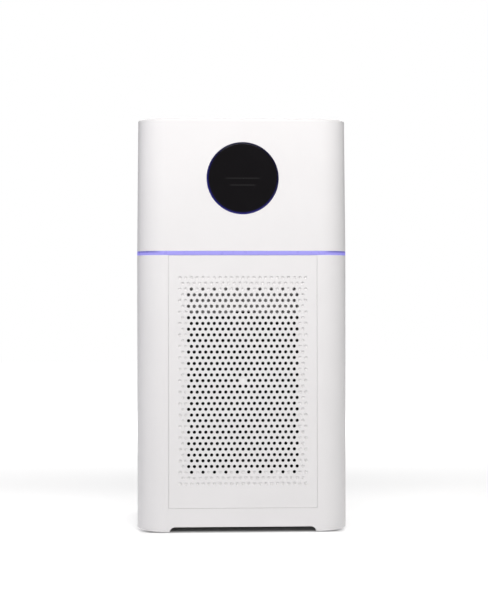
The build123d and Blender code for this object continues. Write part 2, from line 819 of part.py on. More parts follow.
with BuildPart() as top_grille:
    with BuildSketch(Plane.XY.offset(grille_bottom)):
        RectangleRounded(2 * grille_half, 2 * grille_half, 20)
        RectangleRounded(2 * grille_in, 2 * grille_in, 13, mode=Mode.SUBTRACT)
    extrude(amount=grille_top - grille_bottom)
    with BuildSketch(Plane.YZ.offset(-grille_in)):
        with Locations((0, (grille_bottom + grille_top) / 2)):
            with GridLocations(louvre_pitch, 0, louvre_count, 1):
                Rectangle(2.0, 9.0, rotation=louvre_tilt)
    extrude(amount=2 * grille_in)
    with BuildSketch(Plane.XZ.offset(-grille_in)):
        with Locations((0, grille_bottom + 4)):
            with GridLocations(55, 0, 3, 1):
                Rectangle(2.4, 6.0)
    extrude(amount=2 * grille_in)
save(top_grille, "top_grille")

# ---------------------------------------------------------------- middle frame and light strip
ledge_in = 119.5
upstand = 130.0
upstand_wall = 2.0
head_boss_y = 40.0
head_boss_z = frame_top
head_boss_h = 8.0
head_screw_spots = [(sx * boss_x, sy * head_boss_y) for sx in (-1, 1) for sy in (-1, 1)]

with BuildPart() as middle_frame:
    with BuildSketch(Plane.XY.offset(frame_bottom)):
        RectangleRounded(2 * inner - 0.2, 2 * inner - 0.2, corner_r - wall)
        RectangleRounded(2 * ledge_in, 2 * ledge_in, 18, mode=Mode.SUBTRACT)
        with Locations(*boss_spots):
            Circle(screw_r + 0.2, mode=Mode.SUBTRACT)
    extrude(amount=strip_bottom - frame_bottom)
    with BuildSketch(Plane.XY.offset(strip_bottom)):
        ring_sketch(2 * upstand, corner_r - 5, upstand_wall)
    extrude(amount=frame_top - strip_bottom)
    with BuildSketch(Plane.XY.offset(head_bottom)):
        with Locations(*head_screw_spots):
            Circle(5.5)
    extrude(amount=frame_top - head_bottom)
    with BuildSketch(Plane.XY.offset(frame_top)):
        with Locations(*head_screw_spots):
            Circle(screw_r)
    extrude(amount=-9, mode=Mode.SUBTRACT)
save(middle_frame, "middle_frame")

with BuildPart() as light_strip:
    with BuildSketch(Plane.XY.offset(strip_bottom)):
        ring_sketch(width, corner_r, wall)
    extrude(amount=strip_height)
save(light_strip, "light_strip")

tape_thick = 1.0
with BuildPart() as led_tape:
    with BuildSketch(Plane.XY.offset(strip_bottom + 1)):
        ring_sketch(2 * (upstand + tape_thick), corner_r - 4, tape_thick)
    extrude(amount=strip_height - 2)
save(led_tape, "led_tape")

# ---------------------------------------------------------------- head
seat_front = 130.5  # flat pads inside the tapered walls, for the display and the grip
holder_r = 54.0
glass_r = 44.7
light_r = 46.0
holder_screw_r = 51.0
grip_w, grip_h, grip_depth = 110.0, 32.0, 26.0
grip_flange = 7.0
grip_screw_spots = [
    (sx * (grip_w / 2 + 3.5), grip_z + sz * 12.0) for sx in (-1, 1) for sz in (-1, 1)
]


def head_block(inset, z0, z1):
    """A tapered rounded-square block that follows the outside of the head, set in by that much."""
    drop = math.tan(math.radians(head_taper)) * (z0 - head_bottom)
    size = width - 2 * (inset + drop)
    with BuildPart() as block:
        with BuildSketch(Plane.XY.offset(z0)):
            RectangleRounded(size, size, corner_r - inset - drop)
        extrude(amount=z1 - z0, taper=head_taper)
    return block.part


def display_plane(y):
    """An upright plane at that depth whose origin is the middle of the display."""
    return Plane(origin=(0, y, display_z), x_dir=(1, 0, 0), z_dir=(0, -1, 0))


head_outside = head_block(0, head_bottom, height)
head_inside = head_block(wall, head_bottom, grille_top)
seat_limit = head_block(wall / 2, head_bottom, grille_top)

with BuildPart() as head_seats:
    with BuildSketch(display_plane(-seat_front)):
        Circle(holder_r)
    extrude(amount=wall)
    with BuildSketch(upright(rear)):
        with Locations((0, grip_z)):
            RectangleRounded(grip_w + 2 * grip_flange, grip_h + 2 * grip_flange, 8)
    extrude(amount=rear - seat_front)
    add(seat_limit, mode=Mode.INTERSECT)

with BuildPart() as head_shell:
    add(head_outside)
    fillet(head_shell.faces().sort_by(Axis.Z)[-1].edges(), head_top_fillet)
    add(head_inside, mode=Mode.SUBTRACT)
    add(head_seats.part)
    with BuildSketch(Plane.XY.offset(height)):
        RectangleRounded(top_opening, top_opening, top_opening_r)
    extrude(amount=-wall, mode=Mode.SUBTRACT)
    with BuildSketch(display_plane(front + 10)):
        Circle(display_r)
    extrude(amount=20, mode=Mode.SUBTRACT)
    with BuildSketch(display_plane(-seat_front)):
        with PolarLocations(holder_screw_r, 4, start_angle=45):
            Circle(screw_r)
    extrude(amount=2.6, mode=Mode.SUBTRACT)
    with BuildSketch(upright(rear)):
        with Locations((0, grip_z)):
            RectangleRounded(grip_w + 0.4, grip_h + 0.4, 8)
    extrude(amount=10, mode=Mode.SUBTRACT)
    with BuildSketch(upright(seat_front)):
        with Locations(*grip_screw_spots):
            Circle(screw_r)
    extrude(amount=-2.6, mode=Mode.SUBTRACT)
    with BuildSketch(Plane.XY.offset(head_boss_z)):
        with Locations(*head_screw_spots):
            Circle(5.5)
        for spot_x, spot_y in head_screw_spots:
            with Locations((math.copysign(rib_x, spot_x), spot_y)):
                Rectangle(rib_length, 3)
        with Locations(*head_screw_spots):
            Circle(screw_r + 0.2, mode=Mode.SUBTRACT)
    extrude(amount=head_boss_h)
    with BuildSketch(Plane.XY.offset(grille_bottom)):
        with Locations(*duct_screw_spots):
            Circle(boss_r)
            Circle(screw_r, mode=Mode.SUBTRACT)
    extrude(amount=grille_top - grille_bottom)
save(head_shell, "head_shell")

screws(
    "case_screws",
    (Plane.XY.offset(floor_z).reverse(), turned(boss_spots), 16.0),
    (Plane.XY.offset(strip_bottom), boss_spots, 16.0),
    (Plane.XY.offset(head_boss_z + head_boss_h), head_screw_spots, 16.0),
)

with BuildPart() as grip_cup:
    with BuildSketch(upright(seat_front)):
        with Locations((0, grip_z)):
            RectangleRounded(grip_w + 2 * grip_flange, grip_h + 2 * grip_flange, 8)
        with Locations(*grip_screw_spots):
            Circle(screw_r + 0.2, mode=Mode.SUBTRACT)
    extrude(amount=2)
    with BuildSketch(upright(rear - 1)):
        with Locations((0, grip_z)):
            RectangleRounded(grip_w, grip_h, 8)
    extrude(amount=grip_depth + 2)
    with BuildSketch(upright(rear)):
        with Locations((0, grip_z)):
            RectangleRounded(grip_w - 4, grip_h - 4, 6)
    extrude(amount=grip_depth + 1, mode=Mode.SUBTRACT)
    add(head_outside, mode=Mode.INTERSECT)
save(grip_cup, "grip_cup")

# ---------------------------------------------------------------- display
glass_front = -133.7
glass_thick = 2.0
guide_back = -124.0
holder_back = -114.0

with BuildPart() as display_glass:
    with BuildSketch(display_plane(glass_front + glass_thick)):
        Circle(glass_r)
    extrude(amount=glass_thick)
    fillet(display_glass.faces().sort_by(Axis.Y)[0].edges(), 0.5)
save(display_glass, "display_glass")

with BuildPart() as display_light_ring:
    with BuildSketch(display_plane(guide_back)):
        Circle(light_r)
        Circle(light_r - 4, mode=Mode.SUBTRACT)
    extrude(amount=guide_back - glass_front - glass_thick)
    with BuildSketch(display_plane(glass_front + glass_thick)):
        Circle(light_r)
        Circle(glass_r, mode=Mode.SUBTRACT)
    extrude(amount=glass_thick)
save(display_light_ring, "display_light_ring")

display_board_back = guide_back + board_thick
with BuildPart() as display_holder:
    with BuildSketch(display_plane(-seat_front + 2)):
        Circle(holder_r)
        with PolarLocations(holder_screw_r, 4, start_angle=45):
            Circle(screw_r + 0.2, mode=Mode.SUBTRACT)
    extrude(amount=2)
    with BuildSketch(display_plane(holder_back)):
        Circle(light_r + 2)
    extrude(amount=holder_back + seat_front)
    with BuildSketch(display_plane(display_board_back)):
        Circle(light_r)
    extrude(amount=display_board_back + seat_front, mode=Mode.SUBTRACT)
    with BuildSketch(display_plane(holder_back - 2)):
        Circle(light_r - 3)
    extrude(amount=holder_back - 2 - display_board_back, mode=Mode.SUBTRACT)
    with BuildSketch(display_plane(holder_back)):
        with Locations((0, -24)):
            SlotOverall(30, 8)
    extrude(amount=2, mode=Mode.SUBTRACT)
save(display_holder, "display_holder")

with BuildPart() as display_board:
    with BuildSketch(display_plane(display_board_back)):
        Circle(light_r - 0.2)
    extrude(amount=board_thick)
save(display_board, "display_board")

with BuildPart() as display_lamps:
    with BuildSketch(display_plane(guide_back)):
        with PolarLocations(39, 16):
            Rectangle(2.4, 3)
        with GridLocations(9, 9, 5, 3):
            Rectangle(3, 2)
    extrude(amount=1.2)
save(display_lamps, "display_lamps")

screws(
    "short_screws",
    (
        display_plane(-seat_front + 2).reverse(),
        turned(ring_spots(holder_screw_r, (45, 135, 225, 315))),
        4.4,
    ),
    (upright(seat_front - 2), grip_screw_spots, 4.4),
    head=2.4,
)

# ---------------------------------------------------------------- electronics
with BuildPart() as main_board:
    with BuildSketch(upright(board_front + board_thick)):
        slab(-board_x, board_x, board_z0, board_z1)
        with Locations(*board_spots):
            Circle(screw_r + 0.2, mode=Mode.SUBTRACT)
    extrude(amount=board_thick)
save(main_board, "main_board")

chip_spots = [
    (-20.0, 258.0, 14.0, 14.0, 1.6),
    (12.0, 250.0, 9.0, 5.0, 1.6),
    (12.0, 272.0, 9.0, 5.0, 1.6),
]
socket_spots = [(-30.0 + 20.0 * i, board_z0 + 6, 14.0, 6.0, 7.0) for i in range(4)]
block_spots = [(36.0, 240.0, 16.0, 13.0, 12.0), (36.0, 262.0, 12.0, 12.0, 9.0)]
with BuildPart() as main_board_parts:
    for x, z, part_w, part_h, tall in chip_spots + socket_spots + block_spots:
        with BuildSketch(upright(board_front)):
            with Locations((x, z)):
                Rectangle(part_w, part_h)
        extrude(amount=tall)
    with BuildSketch(upright(board_front)):
        with Locations((-42, 238), (-42, 252), (-42, 280)):
            Circle(4.5)
    extrude(amount=11)
save(main_board_parts, "main_board_parts")

power_z = tray_top + power_standoff
with BuildPart() as power_board:
    with BuildSketch(Plane.XY.offset(power_z)):
        with Locations((-45, 90)):
            Rectangle(98, 68)
        with Locations(*power_spots):
            Circle(screw_r + 0.2, mode=Mode.SUBTRACT)
    extrude(amount=board_thick)
save(power_board, "power_board")

board_top = power_z + board_thick
with BuildPart() as power_board_parts:
    with BuildSketch(Plane.XY.offset(board_top)):
        with Locations((-40, 92)):
            Rectangle(26, 24)
    extrude(amount=22)
    with BuildSketch(Plane.XY.offset(board_top)):
        with Locations((-72, 78)):
            Rectangle(14, 10)
        with Locations((-72, 102)):
            Rectangle(18, 8)
        with Locations((-12, 74)):
            Rectangle(10, 16)
    extrude(amount=13)
    with BuildSketch(Plane.XY.offset(board_top)):
        with Locations((-14, 98), (-58, 74)):
            Circle(6)
    extrude(amount=24)
save(power_board_parts, "power_board_parts")

socket_depth = 20.0
pin_r = 1.2
pin_gap = 8.6
with BuildPart() as power_socket:
    with BuildSketch(upright(rear - 0.2)):
        with Locations((socket_x, socket_z)):
            RectangleRounded(socket_w + 5.6, socket_h + 5.6, 3.8)
    extrude(amount=wall - 0.2)
    with BuildSketch(upright(inner)):
        with Locations((socket_x, socket_z)):
            RectangleRounded(socket_w - 0.2, socket_h - 0.2, 1.9)
    extrude(amount=socket_depth)
    with BuildSketch(upright(rear)):
        with Locations((socket_x, socket_z)):
            SlotOverall(16.4, 8.0)
    extrude(amount=socket_depth - 1, mode=Mode.SUBTRACT)
    with BuildSketch(upright(inner - socket_depth)):
        with Locations((socket_x - pin_gap / 2, socket_z), (socket_x + pin_gap / 2, socket_z)):
            Circle(pin_r)
    extrude(amount=-socket_depth, mode=Mode.SUBTRACT)
save(power_socket, "power_socket")

with BuildPart() as socket_pins:
    with BuildSketch(upright(inner - socket_depth - 6)):
        with Locations((socket_x - pin_gap / 2, socket_z), (socket_x + pin_gap / 2, socket_z)):
            Circle(pin_r)
    extrude(amount=-(socket_depth + 3))
save(socket_pins, "socket_pins")

sensor_front = sensor_back - 12.0
with BuildPart() as air_sensor:
    with BuildSketch(upright(sensor_back + 4)):
        with Locations((sensor_x, sensor_z)):
            Rectangle(46, 30)
    extrude(amount=sensor_back + 4 - sensor_front)
    fillet(air_sensor.edges().filter_by(Axis.Y), 1.5)
    with BuildSketch(upright(sensor_back)):
        with Locations((sensor_x, sensor_z)):
            SlotOverall(2 * sensor_boss_x + 9, 9)
        with Locations(*sensor_spots):
            Circle(screw_r + 0.2, mode=Mode.SUBTRACT)
    extrude(amount=2)
    with BuildSketch(upright(sensor_back + 4)):
        with Locations((sensor_x + 10, sensor_z)):
            Circle(7)
        with Locations((sensor_x - 10, sensor_z)):
            Circle(4)
    extrude(amount=8, mode=Mode.SUBTRACT)
save(air_sensor, "air_sensor")

screws(
    "board_screws",
    (upright(board_front), board_spots, 7.0),
    (Plane.XY.offset(board_top), power_spots, 7.0),
    (upright(sensor_back - 2), sensor_spots, 7.0),
)

with BuildPart() as sensor_door:
    with BuildSketch(upright(rear)):
        slab(
            sensor_x - door_w / 2,
            sensor_x + door_w / 2,
            hinge_z,
            sensor_z + door_h / 2,
        )
    extrude(amount=wall)
    top_edges = sensor_door.edges().filter_by(Axis.Y).group_by(Axis.Z)[-1]
    fillet(top_edges, 4)
    with BuildSketch(Plane.YZ.offset(sensor_x - door_w / 2)):
        with Locations((hinge_y, hinge_z)):
            Circle(door_r)
    extrude(amount=door_w)
    with BuildSketch(upright(rear)):
        with Locations((sensor_x, sensor_z + 4)):
            with GridLocations(5, 0, 8, 1):
                SlotOverall(22, 2.2, rotation=90)
    extrude(amount=wall, mode=Mode.SUBTRACT)
    with BuildSketch(Plane.YZ.offset(sensor_x - door_w / 2)):
        with Locations((hinge_y, hinge_z)):
            Circle(hinge_pin_r + 0.3)
    extrude(amount=door_w, mode=Mode.SUBTRACT)
save(sensor_door, "sensor_door")

with BuildPart() as hinge_pin:
    with BuildSketch(Plane.YZ.offset(sensor_x - ear_x - ear_thick / 2)):
        with Locations((hinge_y, hinge_z)):
            Circle(hinge_pin_r)
    extrude(amount=2 * ear_x + ear_thick)
save(hinge_pin, "hinge_pin")
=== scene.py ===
import json
import math

import bmesh
import bpy
from mathutils import Matrix, Vector


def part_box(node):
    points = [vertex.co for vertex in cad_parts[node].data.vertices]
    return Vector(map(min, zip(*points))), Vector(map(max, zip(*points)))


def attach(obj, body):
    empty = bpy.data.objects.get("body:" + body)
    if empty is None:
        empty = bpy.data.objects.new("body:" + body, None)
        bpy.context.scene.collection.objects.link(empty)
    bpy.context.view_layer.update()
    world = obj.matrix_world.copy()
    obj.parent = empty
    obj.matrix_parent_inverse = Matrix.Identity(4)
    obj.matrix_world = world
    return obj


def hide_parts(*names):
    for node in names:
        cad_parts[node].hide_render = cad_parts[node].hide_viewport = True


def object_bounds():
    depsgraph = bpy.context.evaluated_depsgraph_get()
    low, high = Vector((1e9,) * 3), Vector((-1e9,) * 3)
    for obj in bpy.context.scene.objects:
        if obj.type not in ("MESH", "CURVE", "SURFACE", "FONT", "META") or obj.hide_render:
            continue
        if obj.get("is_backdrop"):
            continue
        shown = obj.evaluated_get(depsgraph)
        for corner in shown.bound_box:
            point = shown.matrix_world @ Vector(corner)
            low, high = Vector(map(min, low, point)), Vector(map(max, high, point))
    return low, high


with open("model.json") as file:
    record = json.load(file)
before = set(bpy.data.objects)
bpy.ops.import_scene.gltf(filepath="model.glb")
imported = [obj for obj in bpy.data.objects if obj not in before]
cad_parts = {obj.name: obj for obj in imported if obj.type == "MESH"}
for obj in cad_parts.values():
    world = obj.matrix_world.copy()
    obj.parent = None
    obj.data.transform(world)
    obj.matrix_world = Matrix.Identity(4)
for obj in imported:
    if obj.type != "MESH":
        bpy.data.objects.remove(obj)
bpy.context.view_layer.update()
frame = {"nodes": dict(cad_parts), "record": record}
record = frame["record"]

MM = 0.001
WALL = 2.5 * MM
CORNER = 35.0 * MM  # radius of the column's upright corners
CORNER_STEPS = 20
ON_AXIS = 0.0001  # radius of the small hole that closes a lathe profile on its axis
EASE_ANGLE = math.radians(50)
RIM_BLUE = (0.012, 0.01, 0.17)

# ------------------------------------------------------------------ shader helpers


class Shader:
    """A node material whose textures are placed by the object's own coordinates."""

    def __init__(self, name):
        self.material = bpy.data.materials.new(name)
        self.material.use_nodes = True
        self.nodes = self.material.node_tree.nodes
        self.links = self.material.node_tree.links
        self.bsdf = self.nodes["Principled BSDF"]
        self.coords = self.nodes.new("ShaderNodeTexCoord").outputs["Object"]

    def set(self, **values):
        for key, value in values.items():
            self.bsdf.inputs[key.replace("_", " ")].default_value = value
        return self

    def link(self, source, target):
        self.links.new(source, target)
        return source

    def mapped(self, scale):
        node = self.nodes.new("ShaderNodeMapping")
        node.inputs["Scale"].default_value = scale
        self.link(self.coords, node.inputs["Vector"])
        return node.outputs["Vector"]

    def noise(self, scale, detail=4.0, rough=0.55, vector=None):
        node = self.nodes.new("ShaderNodeTexNoise")
        node.inputs["Scale"].default_value = scale
        node.inputs["Detail"].default_value = detail
        node.inputs["Roughness"].default_value = rough
        self.link(vector or self.coords, node.inputs["Vector"])
        return node.outputs["Fac"]

    def cells(self, scale, feature="F1"):
        node = self.nodes.new("ShaderNodeTexVoronoi")
        node.feature = feature
        node.inputs["Scale"].default_value = scale
        self.link(self.coords, node.inputs["Vector"])
        return node.outputs["Distance"]

    def wave(self, scale, direction):
        node = self.nodes.new("ShaderNodeTexWave")
        node.bands_direction = direction
        node.wave_profile = "SIN"
        node.inputs["Scale"].default_value = scale
        node.inputs["Distortion"].default_value = 0.0
        self.link(self.coords, node.inputs["Vector"])
        return node.outputs["Fac"]

    def axis(self, letter):
        node = self.nodes.new("ShaderNodeSeparateXYZ")
        self.link(self.coords, node.inputs[0])
        return node.outputs[letter]

    def ramp(self, source, low, high, start=0.0, end=1.0, smooth=True):
        """Takes source from start to end onto low to high."""
        node = self.nodes.new("ShaderNodeMapRange")
        node.interpolation_type = "SMOOTHSTEP" if smooth else "LINEAR"
        for key, value in (("From Min", start), ("From Max", end), ("To Min", low), ("To Max", high)):
            node.inputs[key].default_value = value
        self.link(source, node.inputs["Value"])
        return node.outputs["Result"]

    def math(self, kind, a, b=0.0):
        node = self.nodes.new("ShaderNodeMath")
        node.operation = kind
        for socket, value in zip(node.inputs, (a, b)):
            if isinstance(value, (int, float)):
                socket.default_value = value
            else:
                self.link(value, socket)
        return node.outputs[0]

    def mix(self, factor, a, b):
        node = self.nodes.new("ShaderNodeMix")
        node.data_type = "RGBA"
        if isinstance(factor, (int, float)):
            node.inputs[0].default_value = factor
        else:
            self.link(factor, node.inputs[0])
        for socket, value in ((node.inputs[6], a), (node.inputs[7], b)):
            if isinstance(value, (tuple, list)):
                socket.default_value = (*value[:3], 1.0)
            else:
                self.link(value, socket)
        return node.outputs[2]

    def colour(self, source):
        self.link(source, self.bsdf.inputs["Base Color"])
        return self

    def rough(self, source):
        self.link(source, self.bsdf.inputs["Roughness"])
        return self

    def bump(self, source, height, strength=1.0):
        """Adds a bump of that height in metres on top of any earlier one."""
        node = self.nodes.new("ShaderNodeBump")
        node.inputs["Strength"].default_value = strength
        node.inputs["Distance"].default_value = height
        self.link(source, node.inputs["Height"])
        normal = self.bsdf.inputs["Normal"]
        if normal.is_linked:
            self.link(normal.links[0].from_socket, node.inputs["Normal"])
        self.link(node.outputs["Normal"], normal)
        return self


def tint(colour, share):
    return tuple(c * share for c in colour)


def moulded(name, colour, rough, grain=0.00002, grain_scale=2200.0, specular=0.35, shade=0.94):
    """Moulded plastic: a fine spark-eroded grain, faint flow clouds and small specks."""
    s = Shader(name)
    s.set(Specular_IOR_Level=specular)
    clouds = s.noise(14.0, 3.0)
    specks = s.noise(600.0, 2.0)
    worn = s.mix(s.ramp(clouds, 0.0, 1.0, 0.35, 0.7), colour, tint(colour, shade))
    worn = s.mix(s.ramp(specks, 0.0, 0.3, 0.64, 0.78), worn, tint(colour, 0.86))
    s.colour(worn)
    s.rough(s.ramp(s.noise(90.0, 5.0), rough - 0.06, rough + 0.07, 0.3, 0.7))
    s.bump(s.noise(grain_scale, 3.0, 0.6), grain, 0.6)
    s.bump(s.noise(30.0, 2.0), 0.00004, 0.25)
    return s


def metal(name, colour, rough, grain_axis=(1, 1, 30)):
    """Plated or brushed steel with fine drawn lines and a few darker stains."""
    s = Shader(name)
    s.set(Metallic=1.0)
    lines = s.noise(260.0, 4.0, 0.6, s.mapped(grain_axis))
    stains = s.ramp(s.noise(45.0, 4.0), 0.0, 0.6, 0.55, 0.75)
    s.colour(s.mix(stains, colour, tint(colour, 0.7)))
    s.rough(s.ramp(lines, rough - 0.08, rough + 0.14, 0.3, 0.7))
    s.bump(lines, 0.00001, 0.5)
    return s


def rubber(name, colour):
    s = Shader(name)
    s.set(Specular_IOR_Level=0.25)
    dust = s.ramp(s.noise(160.0, 6.0, 0.7), 0.0, 0.5, 0.5, 0.75)
    s.colour(s.mix(dust, colour, tuple(c * 1.8 + 0.02 for c in colour)))
    s.rough(s.ramp(s.noise(300.0), 0.7, 0.92, 0.3, 0.7))
    s.bump(s.noise(1500.0, 3.0), 0.00004, 0.6)
    return s


def glowing(name, colour, glow, strength, rough=0.3):
    s = Shader(name)
    s.set(Specular_IOR_Level=0.4)
    s.colour(s.mix(s.noise(60.0), colour, tint(colour, 0.92)))
    s.rough(s.ramp(s.noise(150.0, 4.0), rough - 0.05, rough + 0.08, 0.3, 0.7))
    s.bump(s.noise(900.0), 0.00001, 0.4)
    s.bsdf.inputs["Emission Color"].default_value = (*glow, 1.0)
    s.bsdf.inputs["Emission Strength"].default_value = strength
    return s


# ------------------------------------------------------------------ materials
finish = {}
finish["white_shell"] = moulded("white_shell", (0.8, 0.79, 0.795), 0.42, shade=0.985)
finish["white_inner"] = moulded("white_inner", (0.72, 0.72, 0.72), 0.5)
finish["grille_white"] = moulded("grille_white", (0.78, 0.78, 0.78), 0.45)
finish["dark_plastic"] = moulded("dark_plastic", (0.016, 0.016, 0.018), 0.45)
finish["grey_plastic"] = moulded("grey_plastic", (0.1, 0.105, 0.11), 0.5)
finish["impeller_black"] = moulded("impeller_black", (0.018, 0.018, 0.02), 0.38)
finish["board_parts"] = moulded("board_parts", (0.02, 0.02, 0.023), 0.4)
finish["led_tape"] = moulded("led_tape", (0.75, 0.73, 0.62), 0.4)
finish["lamps"] = glowing("lamps", (0.8, 0.75, 0.4), (0.5, 0.45, 1.0), 0.3)
finish["rubber"] = rubber("rubber", (0.02, 0.02, 0.02))
finish["foam"] = rubber("foam", (0.035, 0.035, 0.038))
finish["screw_steel"] = metal("screw_steel", (0.55, 0.55, 0.57), 0.32)
finish["motor_metal"] = metal("motor_metal", (0.5, 0.51, 0.53), 0.36, (1, 25, 1))
finish["magnet"] = metal("magnet", (0.66, 0.66, 0.67), 0.2)
finish["pin_brass"] = metal("pin_brass", (0.7, 0.55, 0.25), 0.25)

glass = Shader("black_glass")
glass.set(Specular_IOR_Level=0.22)
glass.colour(glass.mix(glass.noise(20.0), (0.0055, 0.005, 0.0055), (0.008, 0.0072, 0.0085)))
glass.rough(glass.ramp(glass.noise(35.0, 5.0, 0.65), 0.08, 0.2, 0.4, 0.75))
glass.bump(glass.noise(55.0, 2.0), 0.000004, 0.3)
display_low, display_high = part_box("display_light_ring")
display_x, display_z = (display_low.x + display_high.x) / 2, (display_low.z + display_high.z) / 2


def rim_glow(s, start, end, strength):
    """Deep blue light leaking round the display's rim, strongest at its lower left."""
    across = s.math("SUBTRACT", s.axis("X"), display_x)
    upward = s.math("SUBTRACT", s.axis("Z"), display_z)
    squares = s.math("ADD", s.math("MULTIPLY", across, across), s.math("MULTIPLY", upward, upward))
    radius = s.math("SQRT", squares)
    lean = s.math("ADD", s.math("MULTIPLY", across, -0.45), s.math("MULTIPLY", upward, -0.9))
    share = s.math("MULTIPLY", s.ramp(radius, 0.0, 1.0, start, end), s.ramp(lean, 0.04, 1.0, -0.032, 0.04))
    s.bsdf.inputs["Emission Color"].default_value = (*RIM_BLUE, 1.0)
    s.link(s.math("MULTIPLY", share, strength), s.bsdf.inputs["Emission Strength"])


rim_glow(glass, 0.0425, 0.0447, 0.55)
marks = None  # faint unlit bars of the dead-front indicator
for bar_z, bar_half in ((0.0, 0.025), (-0.0087, 0.019)):
    along = glass.ramp(glass.math("ABSOLUTE", glass.math("SUBTRACT", glass.axis("X"), display_x)),
                       1.0, 0.0, bar_half * 0.7, bar_half)
    off_line = glass.math("ABSOLUTE", glass.math("SUBTRACT", glass.axis("Z"), display_z + bar_z))
    bar = glass.math("MULTIPLY", along, glass.ramp(off_line, 1.0, 0.0, 0.0004, 0.0012))
    marks = bar if marks is None else glass.math("MAXIMUM", marks, bar)
tone = glass.bsdf.inputs["Base Color"].links[0].from_socket
glass.colour(glass.mix(glass.math("MULTIPLY", marks, 0.5), tone, (0.03, 0.029, 0.03)))
finish["black_glass"] = glass

board = Shader("circuit_board")
board.set(Specular_IOR_Level=0.5)
traces = board.cells(160.0, feature="DISTANCE_TO_EDGE")
board.colour(board.mix(board.ramp(traces, 1.0, 0.0, 0.0, 0.09), (0.01, 0.075, 0.032), (0.02, 0.14, 0.06)))
board.rough(board.ramp(board.noise(80.0), 0.25, 0.45, 0.3, 0.7))
board.bump(traces, 0.00003, 0.5)
finish["circuit_board"] = board

weave = Shader("prefilter")
weave.set(Specular_IOR_Level=0.2, Sheen_Weight=0.2)
threads = weave.math("MULTIPLY", weave.wave(300.0, "X"), weave.wave(300.0, "Z"))
weave.colour(weave.mix(weave.ramp(threads, 0.0, 1.0, 0.1, 0.6), (0.01, 0.01, 0.011), (0.004, 0.004, 0.0045)))
weave.rough(weave.ramp(weave.noise(200.0), 0.65, 0.9, 0.3, 0.7))
weave.bump(threads, -0.0003, 0.8)
finish["prefilter"] = weave

carbon = Shader("carbon")
carbon.set(Specular_IOR_Level=0.3)
grains = carbon.cells(420.0)
carbon.colour(carbon.mix(grains, (0.016, 0.016, 0.017), (0.004, 0.004, 0.004)))
carbon.rough(carbon.ramp(carbon.noise(500.0), 0.45, 0.85, 0.3, 0.7))
carbon.bump(grains, -0.0008, 0.8)
finish["carbon"] = carbon

paper = Shader("filter_paper")
paper.set(Specular_IOR_Level=0.2)
fibres = paper.noise(700.0, 6.0, 0.7, paper.mapped((1, 1, 0.25)))
paper.colour(paper.mix(paper.ramp(fibres, 0.0, 1.0, 0.35, 0.7), (0.8, 0.79, 0.75), (0.68, 0.66, 0.6)))
paper.rough(paper.ramp(fibres, 0.8, 0.95, 0.3, 0.7))
paper.bump(fibres, 0.00008, 0.6)
finish["filter_paper"] = paper

ribbon = Shader("pull_tab")
ribbon.set(Sheen_Weight=0.4)
ribs = ribbon.math("MULTIPLY", ribbon.wave(240.0, "X"), ribbon.wave(500.0, "Z"))
ribbon.colour(ribbon.mix(ribs, (0.006, 0.006, 0.007), (0.014, 0.014, 0.016)))
ribbon.rough(ribbon.ramp(ribbon.noise(200.0), 0.6, 0.85, 0.3, 0.7))
ribbon.bump(ribs, 0.0002, 0.7)
finish["pull_tab"] = ribbon

strip_low, strip_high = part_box("light_strip")
strip = glowing("light_strip", (0.3, 0.29, 0.42), (0.18, 0.15, 1.0), 0.5)
round_corner = strip.math("MINIMUM", strip.math("ABSOLUTE", strip.axis("X")),
                          strip.math("ABSOLUTE", strip.axis("Y")))
middle_z = (strip_low.z + strip_high.z) / 2
upper = strip.ramp(strip.axis("Z"), 0.0, 1.0, middle_z - 0.4 * MM, middle_z + 1.6 * MM)
# painted shade: at the corners the upper half of the strip glows weaker and darker
corner_top_shade = strip.math("MULTIPLY", strip.ramp(round_corner, 0.0, 1.0, 0.1, 0.118), upper)
strip.link(strip.ramp(corner_top_shade, 0.5, 0.24, 0.0, 1.0, False), strip.bsdf.inputs["Emission Strength"])
strip.colour(strip.mix(corner_top_shade, strip.bsdf.inputs["Base Color"].links[0].from_socket, (0.16, 0.15, 0.34)))
finish["light_strip"] = strip
guide = glowing("display_light", (0.012, 0.011, 0.045), RIM_BLUE, 0.5, 0.3)
guide.set(Specular_IOR_Level=0.2)
rim_glow(guide, 0.03, 0.04, 0.75)
finish["display_light"] = guide

# ------------------------------------------------------------------ mesh helpers

def keep(mesh_object, body, slot, *nodes, sharp=35.0):
    """Finishes a new piece: smooth shading with crisp edges, its finish, its body and its CAD nodes."""
    mesh = mesh_object.data
    mesh.materials.clear()
    mesh.materials.append(finish[slot].material)
    mesh.shade_smooth()
    mesh.set_sharp_from_angle(angle=math.radians(sharp))
    modifier = mesh_object.modifiers.new("normals", "WEIGHTED_NORMAL")
    modifier.weight = 100
    modifier.keep_sharp = True
    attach(mesh_object, body)
    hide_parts(*nodes)
    return mesh_object


def new_object(name, vertices, faces):
    mesh = bpy.data.meshes.new(name)
    mesh.from_pydata(vertices, [], faces)
    mesh.validate()
    mesh.update()
    piece = bpy.data.objects.new(name, mesh)
    bpy.context.scene.collection.objects.link(piece)
    work = bmesh.new()
    work.from_mesh(mesh)
    bmesh.ops.remove_doubles(work, verts=work.verts, dist=1e-7)
    bmesh.ops.recalc_face_normals(work, faces=work.faces)
    work.to_mesh(mesh)
    work.free()
    return piece


def rounded_loop(half_x, half_y, radius, steps=CORNER_STEPS):
    """The points of a rounded rectangle about the origin, starting at the front right corner."""
    points = []
    for quarter, (sx, sy) in enumerate(((1, -1), (1, 1), (-1, 1), (-1, -1))):
        start = math.radians(-90 + 90 * quarter)
        for step in range(steps + 1):
            a = start + math.radians(90) * step / steps
            points.append((sx * (half_x - radius) + radius * math.cos(a),
                           sy * (half_y - radius) + radius * math.sin(a)))
    return points


